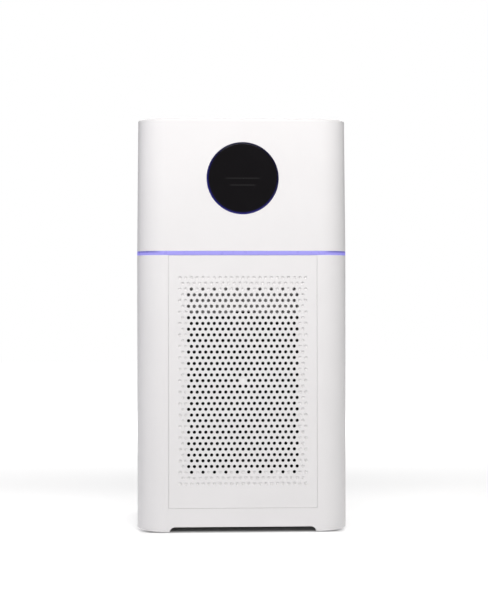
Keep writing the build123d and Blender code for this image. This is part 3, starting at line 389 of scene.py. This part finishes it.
def stacked(rings, count, closed=True):
    """The faces that join rings of that many points each to the next, and the last to the first if closed."""
    faces = []
    for ring in range(rings if closed else rings - 1):
        a, b = ring * count, (ring + 1) % rings * count
        faces += [(a + i, a + (i + 1) % count, b + (i + 1) % count, b + i) for i in range(count)]
    if not closed:
        faces += [tuple(range(count))[::-1], tuple(range((rings - 1) * count, rings * count))]
    return faces


def swept(name, levels, steps=CORNER_STEPS):
    """A solid through rounded-square loops, each (half width, corner radius, z)."""
    vertices = []
    count = 4 * (steps + 1)
    for half, radius, z in levels:
        vertices += [(x, y, z) for x, y in rounded_loop(half, half, radius, steps)]
    return new_object(name, vertices, stacked(len(levels), count))


def lathe(name, profile, centre, steps=96, axis="Y"):
    """A closed solid of revolution. The profile is (radius, distance along the axis) from the centre."""
    vertices = []
    for step in range(steps):
        a = 2 * math.pi * step / steps
        for radius, along in profile:
            u, v = radius * math.cos(a), radius * math.sin(a)
            point = {"Y": (u, along, v), "Z": (u, v, along)}[axis]
            vertices.append(Vector(centre) + Vector(point))
    return new_object(name, vertices, stacked(steps, len(profile)))


def prism(name, outline, low, high, axis="Y"):
    """A solid of that outline between two depths. The outline is (x, z) for Y, (x, y) for Z, (y, z) for X."""
    place = {
        "X": lambda u, v, w: (w, u, v),
        "Y": lambda u, v, w: (u, w, v),
        "Z": lambda u, v, w: (u, v, w),
    }[axis]
    vertices = [place(u, v, w) for w in (low, high) for u, v in outline]
    count = len(outline)
    faces = [tuple(range(count))[::-1], tuple(range(count, 2 * count))]
    faces += [(i, (i + 1) % count, count + (i + 1) % count, count + i) for i in range(count)]
    return new_object(name, vertices, faces)


def rounded_rect(cx, cy, wide, tall, radius, steps=8):
    return [(cx + x, cy + y) for x, y in rounded_loop(wide / 2, tall / 2, radius, steps)]


def circle(cx, cy, radius, steps=96):
    return [(cx + radius * math.cos(2 * math.pi * i / steps), cy + radius * math.sin(2 * math.pi * i / steps))
            for i in range(steps)]


def soften(piece, width):
    """A small round on every edge sharper than EASE_ANGLE."""
    modifier = piece.modifiers.new("ease", "BEVEL")
    modifier.width = width
    modifier.segments = 2
    modifier.limit_method = "ANGLE"
    modifier.angle_limit = EASE_ANGLE


def carve(piece, cutters, bevel):
    """Cuts the cutters out of the piece, eases the new edges, and throws the cutters away."""
    for cutter in cutters:
        modifier = piece.modifiers.new("cut", "BOOLEAN")
        modifier.operation = "DIFFERENCE"
        modifier.solver = "EXACT"
        modifier.object = cutter
    soften(piece, bevel)
    bpy.context.view_layer.update()
    evaluated = piece.evaluated_get(bpy.context.evaluated_depsgraph_get())
    mesh = bpy.data.meshes.new_from_object(evaluated)
    piece.modifiers.clear()
    piece.data = mesh
    for cutter in cutters:
        bpy.data.objects.remove(cutter)
    return piece


def joined(name, *parts):
    """One mesh from several separate closed ones."""
    work = bmesh.new()
    for part in parts:
        work.from_mesh(part.data)
        bpy.data.objects.remove(part)
    mesh = bpy.data.meshes.new(name)
    work.to_mesh(mesh)
    work.free()
    piece = bpy.data.objects.new(name, mesh)
    bpy.context.scene.collection.objects.link(piece)
    return piece


def quarter(cx, cz, radius, start, steps=6):
    """Points of a quarter round about (cx, cz)."""
    return [(cx + radius * math.cos(math.radians(start + 90 * i / steps)),
             cz + radius * math.sin(math.radians(start + 90 * i / steps))) for i in range(steps + 1)]


# ------------------------------------------------------------------ camera
FRAME_TALL = 610.0  # pixels
FOCAL_PX = 1787.7  # focal length in pixels of that side
camera_data = bpy.data.cameras.new("camera")
camera_data.sensor_width = 36.0
camera_data.lens = FOCAL_PX / FRAME_TALL * camera_data.sensor_width
camera_data.clip_start, camera_data.clip_end = 0.05, 50.0
camera = bpy.data.objects.new("camera", camera_data)
bpy.context.scene.collection.objects.link(camera)
azimuth, distance, eye_height = math.radians(-2.629), 2.4189, 0.2996
yaw, pitch, roll = 0.00334, math.radians(-0.202), math.radians(-0.074)
forward = Vector((-math.sin(azimuth), math.cos(azimuth), 0.0))
right = Vector((math.cos(azimuth), math.sin(azimuth), 0.0))
up = Vector((0.0, 0.0, 1.0))


def turned(a, b, angle):
    """Both axes, turned from a towards b."""
    return a * math.cos(angle) + b * math.sin(angle), b * math.cos(angle) - a * math.sin(angle)


forward, right = turned(forward, right, yaw)
forward, up = turned(forward, up, pitch)
right, up = turned(right, up, roll)
turn = Matrix((right, up, -forward)).transposed().to_4x4()
place = Vector((math.sin(azimuth) * distance, -math.cos(azimuth) * distance, eye_height))
camera.matrix_world = Matrix.Translation(place) @ turn
bpy.context.scene.camera = camera

# ------------------------------------------------------------------ outer shells
head_low, head_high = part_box("head_shell")
half = head_high.x
top_z = head_high.z
head_z = head_low.z
head_inset = 1.6 * MM  # how much the head narrows on each side from bottom to top
shell_low, shell_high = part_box("front_housing")
skirt_z = shell_low.z
seam = 0.4 * MM

fillet = 3.0 * MM
opening_half = 112 * MM
inner_top = top_z - WALL
head_levels = []


def head_half(z):
    return half - head_inset * (z - head_z) / (top_z - head_z)


edge = 0.35 * MM
for r, z in quarter(0, 0, edge, 270):
    head_levels.append((half - edge + r, CORNER, head_z + edge + z))
for r, z in quarter(0, 0, fillet, 0, 8):
    zz = top_z - fillet + z
    head_levels.append((head_half(top_z - fillet) - fillet + r, CORNER - head_inset, zz))
for r, z in quarter(0, 0, 0.6 * MM, 90, 4):
    head_levels.append((opening_half + 0.6 * MM + r, 16 * MM, top_z - 0.6 * MM + z))
head_levels += [(opening_half, 16 * MM, inner_top),
                (head_half(inner_top) - WALL, CORNER - 3.5 * MM, inner_top),
                (half - WALL, CORNER - WALL, head_z)]
head = swept("head", head_levels)

glass_low, glass_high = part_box("display_glass")
display_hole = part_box("display_light_ring")[1].x + 0.2 * MM
grip_low, grip_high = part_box("grip_cup")
grip_z = (grip_low.z + grip_high.z) / 2
cup_flange = 14 * MM
grip_wide, grip_tall = grip_high.x - grip_low.x - cup_flange, grip_high.z - grip_low.z - cup_flange
grip_outline = rounded_rect(0, grip_z, grip_wide + 0.4 * MM, grip_tall + 0.4 * MM, 8 * MM, 10)
grip_cut = prism("cut_grip", grip_outline, 0.1, 0.2)
display_cut = prism("cut_display", circle(display_x, display_z, display_hole, 128), -0.2, -0.1)
carve(head, [display_cut, grip_cut], bevel=0.25 * MM)
keep(head, "housing", "white_shell", "head_shell")

# ------------------------------------------------------------------ lower housing
arch_half = 94 * MM
arch_top = 8 * MM
arch_r = 7 * MM
skirt_r = 4.8 * MM
skirt_thick = 6 * MM
skirt_top = 7.8 * MM


def lower_levels(top):
    levels = []
    for r, z in quarter(0, 0, skirt_r, 270, 6):
        levels.append((half - skirt_r + r, CORNER, skirt_z + skirt_r + z))
    for r, z in quarter(0, 0, edge, 0, 4):
        levels.append((half - edge + r, CORNER, top - edge + z))
    levels += [(half - WALL, CORNER - WALL, top), (half - WALL, CORNER - WALL, skirt_top),
               (half - skirt_thick, CORNER - skirt_thick, skirt_top),
               (half - skirt_thick, CORNER - skirt_thick, skirt_z)]
    return levels


def arch_cutters(tag):
    """The low arches through front and back, and through both sides."""
    outline = rounded_rect(0, 0, 2 * arch_half, 2 * arch_top, arch_r, 10)
    return [prism(f"cut_arch_y_{tag}", outline, -0.2, 0.2),
            prism(f"cut_arch_x_{tag}", outline, -0.2, 0.2, "X")]


def block(name, x0, x1, y0, y1, z0, z1):
    return prism(name, [(x0, y0), (x1, y0), (x1, y1), (x0, y1)], z0, z1, "Z")


cover_low, cover_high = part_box("front_cover")
tight = 0.165 * MM  # the window round the cover stands this much further in than the CAD's
window = [cover_low.x - seam + tight, cover_high.x + seam - tight, cover_low.z - seam + tight]
front = swept("front_housing_shell", lower_levels(shell_high.z))
carve(front, [
    block("cut_rear", -0.2, 0.2, -seam / 2, 0.2, -0.1, 0.5),
    block("cut_window", window[0], window[1], -0.2, -half + 2 * WALL, window[2], 0.5),
    *arch_cutters("front"),
], bevel=0.08 * MM)
rebate = []  # the thin ledge behind the cover's edge
lip_in, lip_out = 1.2 * MM, 2.4 * MM
lip_y = cover_high.y + 0.25 * MM
for x0, x1, z0, z1 in (
    (cover_low.x + lip_in, cover_low.x - lip_out, window[2] - 2 * MM, cover_high.z),
    (cover_high.x - lip_in, cover_high.x + lip_out, window[2] - 2 * MM, cover_high.z),
    (cover_low.x, cover_high.x, window[2] - 2 * MM, cover_low.z + lip_in),
):
    outline = [(x0, z0), (x1, z0), (x1, z1), (x0, z1)]
    rebate.append(prism(f"ledge_{len(rebate)}", outline, lip_y, lip_y + 1.2 * MM))
keep(joined("front_housing_lined", front, *rebate), "housing", "white_shell", "front_housing")

door_low, door_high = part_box("sensor_door")
socket_low, socket_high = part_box("power_socket")
vents = []
for row, z in enumerate((238 * MM, 276 * MM)):
    for i in range(9):
        x = (-48 + 12 * i) * MM
        outline = rounded_rect(x, z, 3 * MM, 28 * MM, 1.49 * MM, 6)
        vents.append(prism(f"cut_vent_{row}_{i}", outline, 0.1, 0.2))
rear = swept("rear_housing_shell", lower_levels(shell_high.z))
carve(rear, [
    block("cut_front", -0.2, 0.2, -0.2, seam / 2, -0.1, 0.5),
    *arch_cutters("rear"),
    block("cut_door", door_low.x - seam, door_high.x + seam, 0.1, 0.2,
          door_low.z - 2 * seam, door_high.z + seam),
    prism("cut_socket", rounded_rect((socket_low.x + socket_high.x) / 2, (socket_low.z + socket_high.z) / 2,
                                     socket_high.x - socket_low.x + seam, socket_high.z - socket_low.z + seam,
                                     4 * MM, 8), 0.1, 0.2),
    *vents,
], bevel=0.25 * MM)
keep(rear, "housing", "white_shell", "rear_housing")

# ------------------------------------------------------------------ light strip
soft = 0.5 * MM
lit = []
for r, z in quarter(0, 0, soft, 270, 4):
    lit.append((half - soft + r, CORNER, strip_low.z + soft + z))
for r, z in quarter(0, 0, soft, 0, 4):
    lit.append((half - soft + r, CORNER, strip_high.z - soft + z))
lit += [(half - WALL, CORNER - WALL, strip_high.z), (half - WALL, CORNER - WALL, strip_low.z)]
keep(swept("glow_strip", lit), "housing", "light_strip", "light_strip")

# ------------------------------------------------------------------ perforated front cover
PITCH = 7.31 * MM
HOLE_R = 2.12 * MM
PATTERN_Z = 195 * MM
HALF_ROWS = 18
WIDE_ROW = 23
HOLE_STEPS = 24
lip = 0.12 * MM
cell = PITCH / 2
cover_front, cover_back = cover_low.y, cover_high.y


def hole_kind(row, site, sites):
    """open, blind or none, for one place in the pattern."""
    from_edge = min(site, sites - 1 - site)
    outer_row = HALF_ROWS - abs(row)
    if row == 0 and site == (sites - 1) // 2:
        return "none"
    inside = outer_row >= 2 and from_edge >= 2 - abs(row) % 2
    sparse = outer_row == 2 and from_edge % 2 == 1
    return "open" if inside and not sparse else "blind"


vertices, faces = [], []


def ring(cx, cz, radius, y):
    start = len(vertices)
    for i in range(HOLE_STEPS):
        a = 2 * math.pi * i / HOLE_STEPS
        vertices.append((cx + radius * math.cos(a), y, cz + radius * math.sin(a)))
    return start


def band(a, b):
    for i in range(HOLE_STEPS):
        j = (i + 1) % HOLE_STEPS
        faces.append((a + i, a + j, b + j, b + i))


def plate_cell(cx, cz, start, y):
    """The flat ground of one cell, between its edge and the ring that starts there."""
    marks = [(3, cell, cell), (6, 0, cell), (9, -cell, cell),
             (15, -cell, -cell), (18, 0, -cell), (21, cell, -cell)]
    first = len(vertices)
    for _, dx, dz in marks:
        vertices.append((cx + dx, y, cz + dz))
    for k, (at, _, _) in enumerate(marks):
        after = marks[(k + 1) % 6][0]
        if after <= at:
            after += HOLE_STEPS
        inner = [start + i % HOLE_STEPS for i in range(after, at - 1, -1)]
        faces.append((first + k, first + (k + 1) % 6, *inner))


def flat_cell(cx, cz, wide, y, corners_only=False):
    """A solid cell, with the middle points that its neighbours above and below need."""
    first = len(vertices)
    outline = [(wide, cell), (0, cell), (-wide, cell), (-wide, -cell), (0, -cell), (wide, -cell)]
    if corners_only:
        outline = [p for p in outline if p[0]]
    for dx, dz in outline:
        vertices.append((cx + dx, y, cz + dz))
    faces.append(tuple(range(first, first + len(outline))))


for row in range(-HALF_ROWS, HALF_ROWS + 1):
    sites = WIDE_ROW - abs(row) % 2
    cz = PATTERN_Z + row * PITCH
    for site in range(sites):
        cx = (site - (sites - 1) / 2) * PITCH
        kind = hole_kind(row, site, sites)
        if kind == "none":
            flat_cell(cx, cz, cell, cover_front)
            flat_cell(cx, cz, cell, cover_back)
            continue
        mouth = ring(cx, cz, HOLE_R + lip, cover_front)
        plate_cell(cx, cz, mouth, cover_front)
        if kind == "open":
            throat = ring(cx, cz, HOLE_R, cover_front + lip)
            end = ring(cx, cz, HOLE_R, cover_back)
            band(mouth, throat)
            band(throat, end)
            plate_cell(cx, cz, end, cover_back)
        else:
            rings = [mouth]
            for share, depth in ((1.0, 0.08), (0.95, 0.8), (0.8, 1.3), (0.5, 1.55), (0.2, 1.6)):
                rings.append(ring(cx, cz, HOLE_R * share, cover_front + depth * MM))
            for outer, inner in zip(rings, rings[1:]):
                band(outer, inner)
            faces.append(tuple(range(rings[-1], rings[-1] + HOLE_STEPS)))
            flat_cell(cx, cz, cell, cover_back)
    if sites != WIDE_ROW:
        for side in (-1, 1):
            cx = side * (WIDE_ROW / 2 - 0.25) * PITCH
            for y in (cover_front, cover_back):
                flat_cell(cx, cz, cell / 2, y, corners_only=True)

grid_x = WIDE_ROW / 2 * PITCH
grid_z0, grid_z1 = PATTERN_Z - (HALF_ROWS + 0.5) * PITCH, PATTERN_Z + (HALF_ROWS + 0.5) * PITCH
across = [(-WIDE_ROW / 2 + i * 0.5) * PITCH for i in range(2 * WIDE_ROW + 1)]
upward = [grid_z0 + i * PITCH for i in range(2 * HALF_ROWS + 2)]
ease = 0.1 * MM  # round on the cover's front edge


def border(y, x0, x1, z0, z1):
    """The plain band round the pattern, split at the pattern's corners."""
    outer = [(x0, z0), (x1, z0), (x1, z1), (x0, z1)]
    inner = [(-grid_x, grid_z0), (grid_x, grid_z0), (grid_x, grid_z1), (-grid_x, grid_z1)]
    runs = [[(x, grid_z0) for x in across], [(grid_x, z) for z in upward],
            [(x, grid_z1) for x in reversed(across)], [(-grid_x, z) for z in reversed(upward)]]
    for k in range(4):
        points = [outer[k], outer[(k + 1) % 4], *reversed(runs[k])]
        first = len(vertices)
        vertices.extend((u, y, w) for u, w in points)
        faces.append(tuple(range(first, first + len(points))))


border(cover_front, cover_low.x + ease, cover_high.x - ease, cover_low.z + ease, cover_high.z - ease)
border(cover_back, cover_low.x, cover_high.x, cover_low.z, cover_high.z)
rims = []
for inset, y in ((ease, cover_front), (0, cover_front + ease), (0, cover_back)):
    rims.append(len(vertices))
    for x, z in ((cover_low.x + inset, cover_low.z + inset), (cover_high.x - inset, cover_low.z + inset),
                 (cover_high.x - inset, cover_high.z - inset), (cover_low.x + inset, cover_high.z - inset)):
        vertices.append((x, y, z))
for a, b in zip(rims, rims[1:]):
    faces += [(a + i, a + (i + 1) % 4, b + (i + 1) % 4, b + i) for i in range(4)]
cover = new_object("perforated_cover", vertices, faces)
keep(cover, "cover", "white_shell", "front_cover")

# ------------------------------------------------------------------ display
dx, dz = display_x, display_z
glass_r = glass_high.x - dx
face_y, back_y = glass_low.y, glass_high.y
profile = [(ON_AXIS, 0), (glass_r * 0.5, 0)]
profile += [(glass_r - 0.9 * MM + r, 0.9 * MM - z) for r, z in reversed(quarter(0, 0, 0.9 * MM, 0, 6))]
profile += [(glass_r, back_y - face_y), (ON_AXIS, back_y - face_y)]
keep(lathe("display_disc", profile, (dx, face_y, dz), 128), "housing", "black_glass", "display_glass")

ring_low, ring_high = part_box("display_light_ring")
ring_r = ring_high.x - dx
depth = ring_high.y - ring_low.y
step_y = back_y - ring_low.y
profile = [(glass_r + 0.12 * MM, 0.1 * MM), (glass_r + 0.3 * MM, 0),
           (ring_r - 0.35 * MM, 0), (ring_r, 0.35 * MM), (ring_r, depth),
           (ring_r - 4 * MM, depth), (ring_r - 4 * MM, step_y + 0.02 * MM),
           (glass_r + 0.12 * MM, step_y + 0.02 * MM)]
glow_ring = lathe("display_glow_ring", profile, (dx, ring_low.y, dz), 128)
keep(glow_ring, "housing", "display_light", "display_light_ring")

# ------------------------------------------------------------------ top grille
grille_low, grille_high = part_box("top_grille")
gh, gz0, gz1 = grille_high.x, grille_low.z, grille_high.z
gi = gh - 7 * MM
e = 0.5 * MM
parts = [swept("grille_frame", [(gh, 20 * MM, gz0), (gh, 20 * MM, gz1), (gi + e, 13 * MM, gz1),
                                (gi + 0.15 * MM, 13 * MM, gz1 - 0.15 * MM),
                                (gi, 13 * MM, gz1 - e), (gi, 13 * MM, gz0)])]
tilt = math.radians(22)
mid = (gz0 + gz1) / 2
for i in range(19):
    y = (i - 9) * 11 * MM
    outline = []
    for u, v in rounded_rect(0, 0, 2 * MM, 9 * MM, 0.95 * MM, 4):
        outline.append((y + u * math.cos(tilt) - v * math.sin(tilt),
                        mid + u * math.sin(tilt) + v * math.cos(tilt)))
    parts.append(prism(f"louvre_{i}", outline, -gi - 0.5 * MM, gi + 0.5 * MM, "X"))
for x in (-55 * MM, 0.0, 55 * MM):
    outline = rounded_rect(x, gz0 + 4 * MM, 2.4 * MM, 6 * MM, 0.8 * MM, 3)
    parts.append(prism(f"rib_{x:.3f}", outline, -gi, gi, "Y"))
keep(joined("outlet_grille", *parts), "housing", "grille_white", "top_grille")

# ------------------------------------------------------------------ feet
for corner in ("front_left", "front_right", "rear_left", "rear_right"):
    low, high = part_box(f"foot_{corner}")
    cx, cy, r = (low.x + high.x) / 2, (low.y + high.y) / 2, (high.x - low.x) / 2
    profile = [(ON_AXIS, 0.5 * MM), (r - 5 * MM, 0.5 * MM), (r - 4.5 * MM, 0)]
    profile += [(r - 0.8 * MM + u, 0.8 * MM + v) for u, v in quarter(0, 0, 0.8 * MM, 270, 5)]
    profile += [(r, 3.3 * MM), (r - 0.2 * MM, 3.5 * MM), (3 * MM, 3.5 * MM), (3 * MM, high.z),
                (ON_AXIS, high.z)]
    foot = lathe(f"rubber_foot_{corner}", profile, (cx, cy, low.z), 48, "Z")
    keep(foot, "housing", "rubber", f"foot_{corner}")


# ------------------------------------------------------------------ soft parts of the filter
def upright(name, middle, loops, closed=True, steps=6):
    """A solid through upright rounded rectangles, each (half width, half height, corner radius, y)."""
    vertices = []
    count = 4 * (steps + 1)
    for half_x, half_z, radius, y in loops:
        outline = rounded_loop(half_x, half_z, radius, steps)
        vertices += [(middle.x + x, y, middle.z + z) for x, z in outline]
    return new_object(name, vertices, stacked(len(loops), count, closed))


# foam gasket on the filter's back: a soft round-edged ring, a little pressed in along its middle
low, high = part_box("filter_seal")
middle = (low + high) / 2
seal_x, seal_z, seal_wide, thick = middle.x - low.x, middle.z - low.z, 8 * MM, high.y - low.y
loops = []
for share, level in ((0.0, 0.0), (0.0, 0.55), (0.06, 0.82), (0.18, 0.97), (0.34, 1.0), (0.5, 0.93),
                     (0.66, 1.0), (0.82, 0.97), (0.94, 0.82), (1.0, 0.55), (1.0, 0.0)):
    inset = share * seal_wide
    corner = 3 * MM * (1 - share) + 2 * MM * share
    loops.append((seal_x - inset, seal_z - inset, corner, low.y + level * thick))
gasket = keep(upright("filter_foam_gasket", middle, loops), "filter", "foam", "filter_seal", sharp=60)

# nylon pre-filter cloth, stretched in the frame and a little crowned between its edges
low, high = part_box("prefilter_mesh")
middle = (low + high) / 2
wide, tall, thick = high.x - low.x, high.z - low.z, high.y - low.y
rings = [(0.1, 0.0), (0.3, 0.02), (0.55, 0.08), (0.75, 0.18), (0.9, 0.3), (0.97, 0.38), (1.0, 0.42)]
rings += [(share, down + 0.4) for share, down in reversed(rings)]
loops = [(share * wide / 2, share * tall / 2, share * MM, low.y + down * thick) for share, down in rings]
cloth = upright("prefilter_cloth", middle, loops, closed=False)
keep(cloth, "filter", "prefilter", "prefilter_mesh", sharp=60)

# woven pull tab with a sewn hem and a finger slot, lying on the filter's front
low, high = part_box("filter_pull_tab")
middle = (low + high) / 2
tab_x, tab_z, thick = middle.x - low.x, middle.z - low.z, high.y - low.y
slot_x, slot_z, slot_down = 7 * MM, 3 * MM, 10 * MM
vertices = []
shares = ((0.0, 0.5), (0.04, 0.3), (0.12, 0.25), (0.16, 0.32), (0.2, 0.25),
          (0.6, 0.18), (0.86, 0.18), (0.9, 0.25), (0.94, 0.16), (1.0, 0.3))
outer = rounded_loop(tab_x, tab_z, 6 * MM, 8)
inner = [(x, z - slot_down) for x, z in rounded_loop(slot_x, slot_z, slot_z * 0.999, 8)]
levels = list(shares)
levels += [(share, 1.0 - level + 0.1) for share, level in reversed(shares)]
for share, level in levels:
    for (x0, z0), (x1, z1) in zip(outer, inner):
        x, z = x0 + (x1 - x0) * share, z0 + (z1 - z0) * share
        vertices.append((middle.x + x, low.y + min(level, 1.0) * thick * 0.9, middle.z + z))
faces = stacked(len(levels), len(outer))
tab = keep(new_object("pull_ribbon", vertices, faces), "filter", "pull_tab", "filter_pull_tab", sharp=60)

# ------------------------------------------------------------------ carried-over CAD nodes
CAD_EASE = 0.2 * MM
WELD_DISTANCE = 0.002 * MM
UNEASED = ("hepa_media", "carbon_layer", "impeller")  # thin or granular, where a bevel would do harm
for row in record["subparts"]:
    node = frame["nodes"][row["node"]]
    if node.hide_render:
        continue
    node.data.materials.clear()
    node.data.materials.append(finish[row["material_slot"]].material)
    weld = node.modifiers.new("weld", "WELD")
    weld.merge_threshold = WELD_DISTANCE
    if row["node"] not in UNEASED:
        soften(node, CAD_EASE)
    smooth = node.modifiers.new("normals", "WEIGHTED_NORMAL")
    smooth.keep_sharp = True

# ------------------------------------------------------------------ studio
scene = bpy.context.scene
scene.view_settings.view_transform = "Standard"
scene.view_settings.look = "None"

FLOOR_HALF = 6  # metres
floor_mesh = bpy.data.meshes.new("floor")
corners = [(x * FLOOR_HALF, y * FLOOR_HALF, 0) for x, y in ((-1, -1), (1, -1), (1, 1), (-1, 1))]
floor_mesh.from_pydata(corners, [], [(0, 1, 2, 3)])
floor = bpy.data.objects.new("floor", floor_mesh)
scene.collection.objects.link(floor)
paint = Shader("floor")
from_x = paint.math("ABSOLUTE", paint.axis("X"))
from_y = paint.math("ABSOLUTE", paint.axis("Y"))
from_middle = paint.math("MAXIMUM", from_x, from_y)
paint.set(Specular_IOR_Level=0.05, Roughness=0.95)
paint.bsdf.inputs["Base Color"].default_value = (0.7, 0.7, 0.7, 1)
paint.bsdf.inputs["Emission Color"].default_value = (1, 1, 1, 1)
outside = paint.ramp(from_middle, 0.0, 1.0, 0.108, 0.142)  # none of it under the object
# painted light: the floor glows more close beside the object, filling in the object's cast shadow there
glow_filling_shadow = paint.math("MULTIPLY", outside, paint.ramp(from_middle, 0.54, 0.46, 0.17, 0.5))
behind = paint.ramp(paint.axis("Y"), 0.5, 1.0, -0.9, -0.3)
further = paint.math("MULTIPLY", behind, paint.ramp(from_middle, 0.0, 0.5, 0.35, 2.0))
paint.link(paint.math("ADD", glow_filling_shadow, further), paint.bsdf.inputs["Emission Strength"])
floor_mesh.materials.append(paint.material)
floor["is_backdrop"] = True

world = bpy.data.worlds.new("studio")
scene.world = world
world.use_nodes = True
nodes, links = world.node_tree.nodes, world.node_tree.links
background = nodes["Background"]
seen = nodes.new("ShaderNodeLightPath")
level = nodes.new("ShaderNodeMapRange")
level.inputs["To Min"].default_value = 0.1  # light on the object
level.inputs["To Max"].default_value = 1.0  # plain white to the eye
links.new(seen.outputs["Is Camera Ray"], level.inputs["Value"])
links.new(level.outputs["Result"], background.inputs["Strength"])
background.inputs["Color"].default_value = (1, 1, 1, 1)


def softbox(name, where, target, wide, tall, power, colour=(1, 1, 1)):
    data = bpy.data.lights.new(name, "AREA")
    data.shape = "RECTANGLE"
    data.size, data.size_y = wide, tall
    data.energy = power
    data.color = colour
    lamp = bpy.data.objects.new(name, data)
    scene.collection.objects.link(lamp)
    lamp.location = where
    lamp.rotation_mode = "QUATERNION"
    lamp.rotation_quaternion = (Vector(target) - Vector(where)).to_track_quat("-Z", "Y")
    return lamp


softbox("front_box", (-0.05, -1.15, 1.45), (0, 0, 0.55), 1.0, 0.7, 20.4, (1.0, 0.982, 0.968))
softbox("left_box", (-2.4, -0.9, 1.2), (0, 0, 0.3), 1.0, 1.4, 2.4, (0.62, 0.62, 1.0))
softbox("top_box", (0, 0.5, 2.6), (0, 0, 0), 2.2, 2.2, 11.5)
softbox("back_box", (0.2, 2.0, 1.5), (0, 0, 0.3), 1.4, 1.0, 16)

low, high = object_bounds()
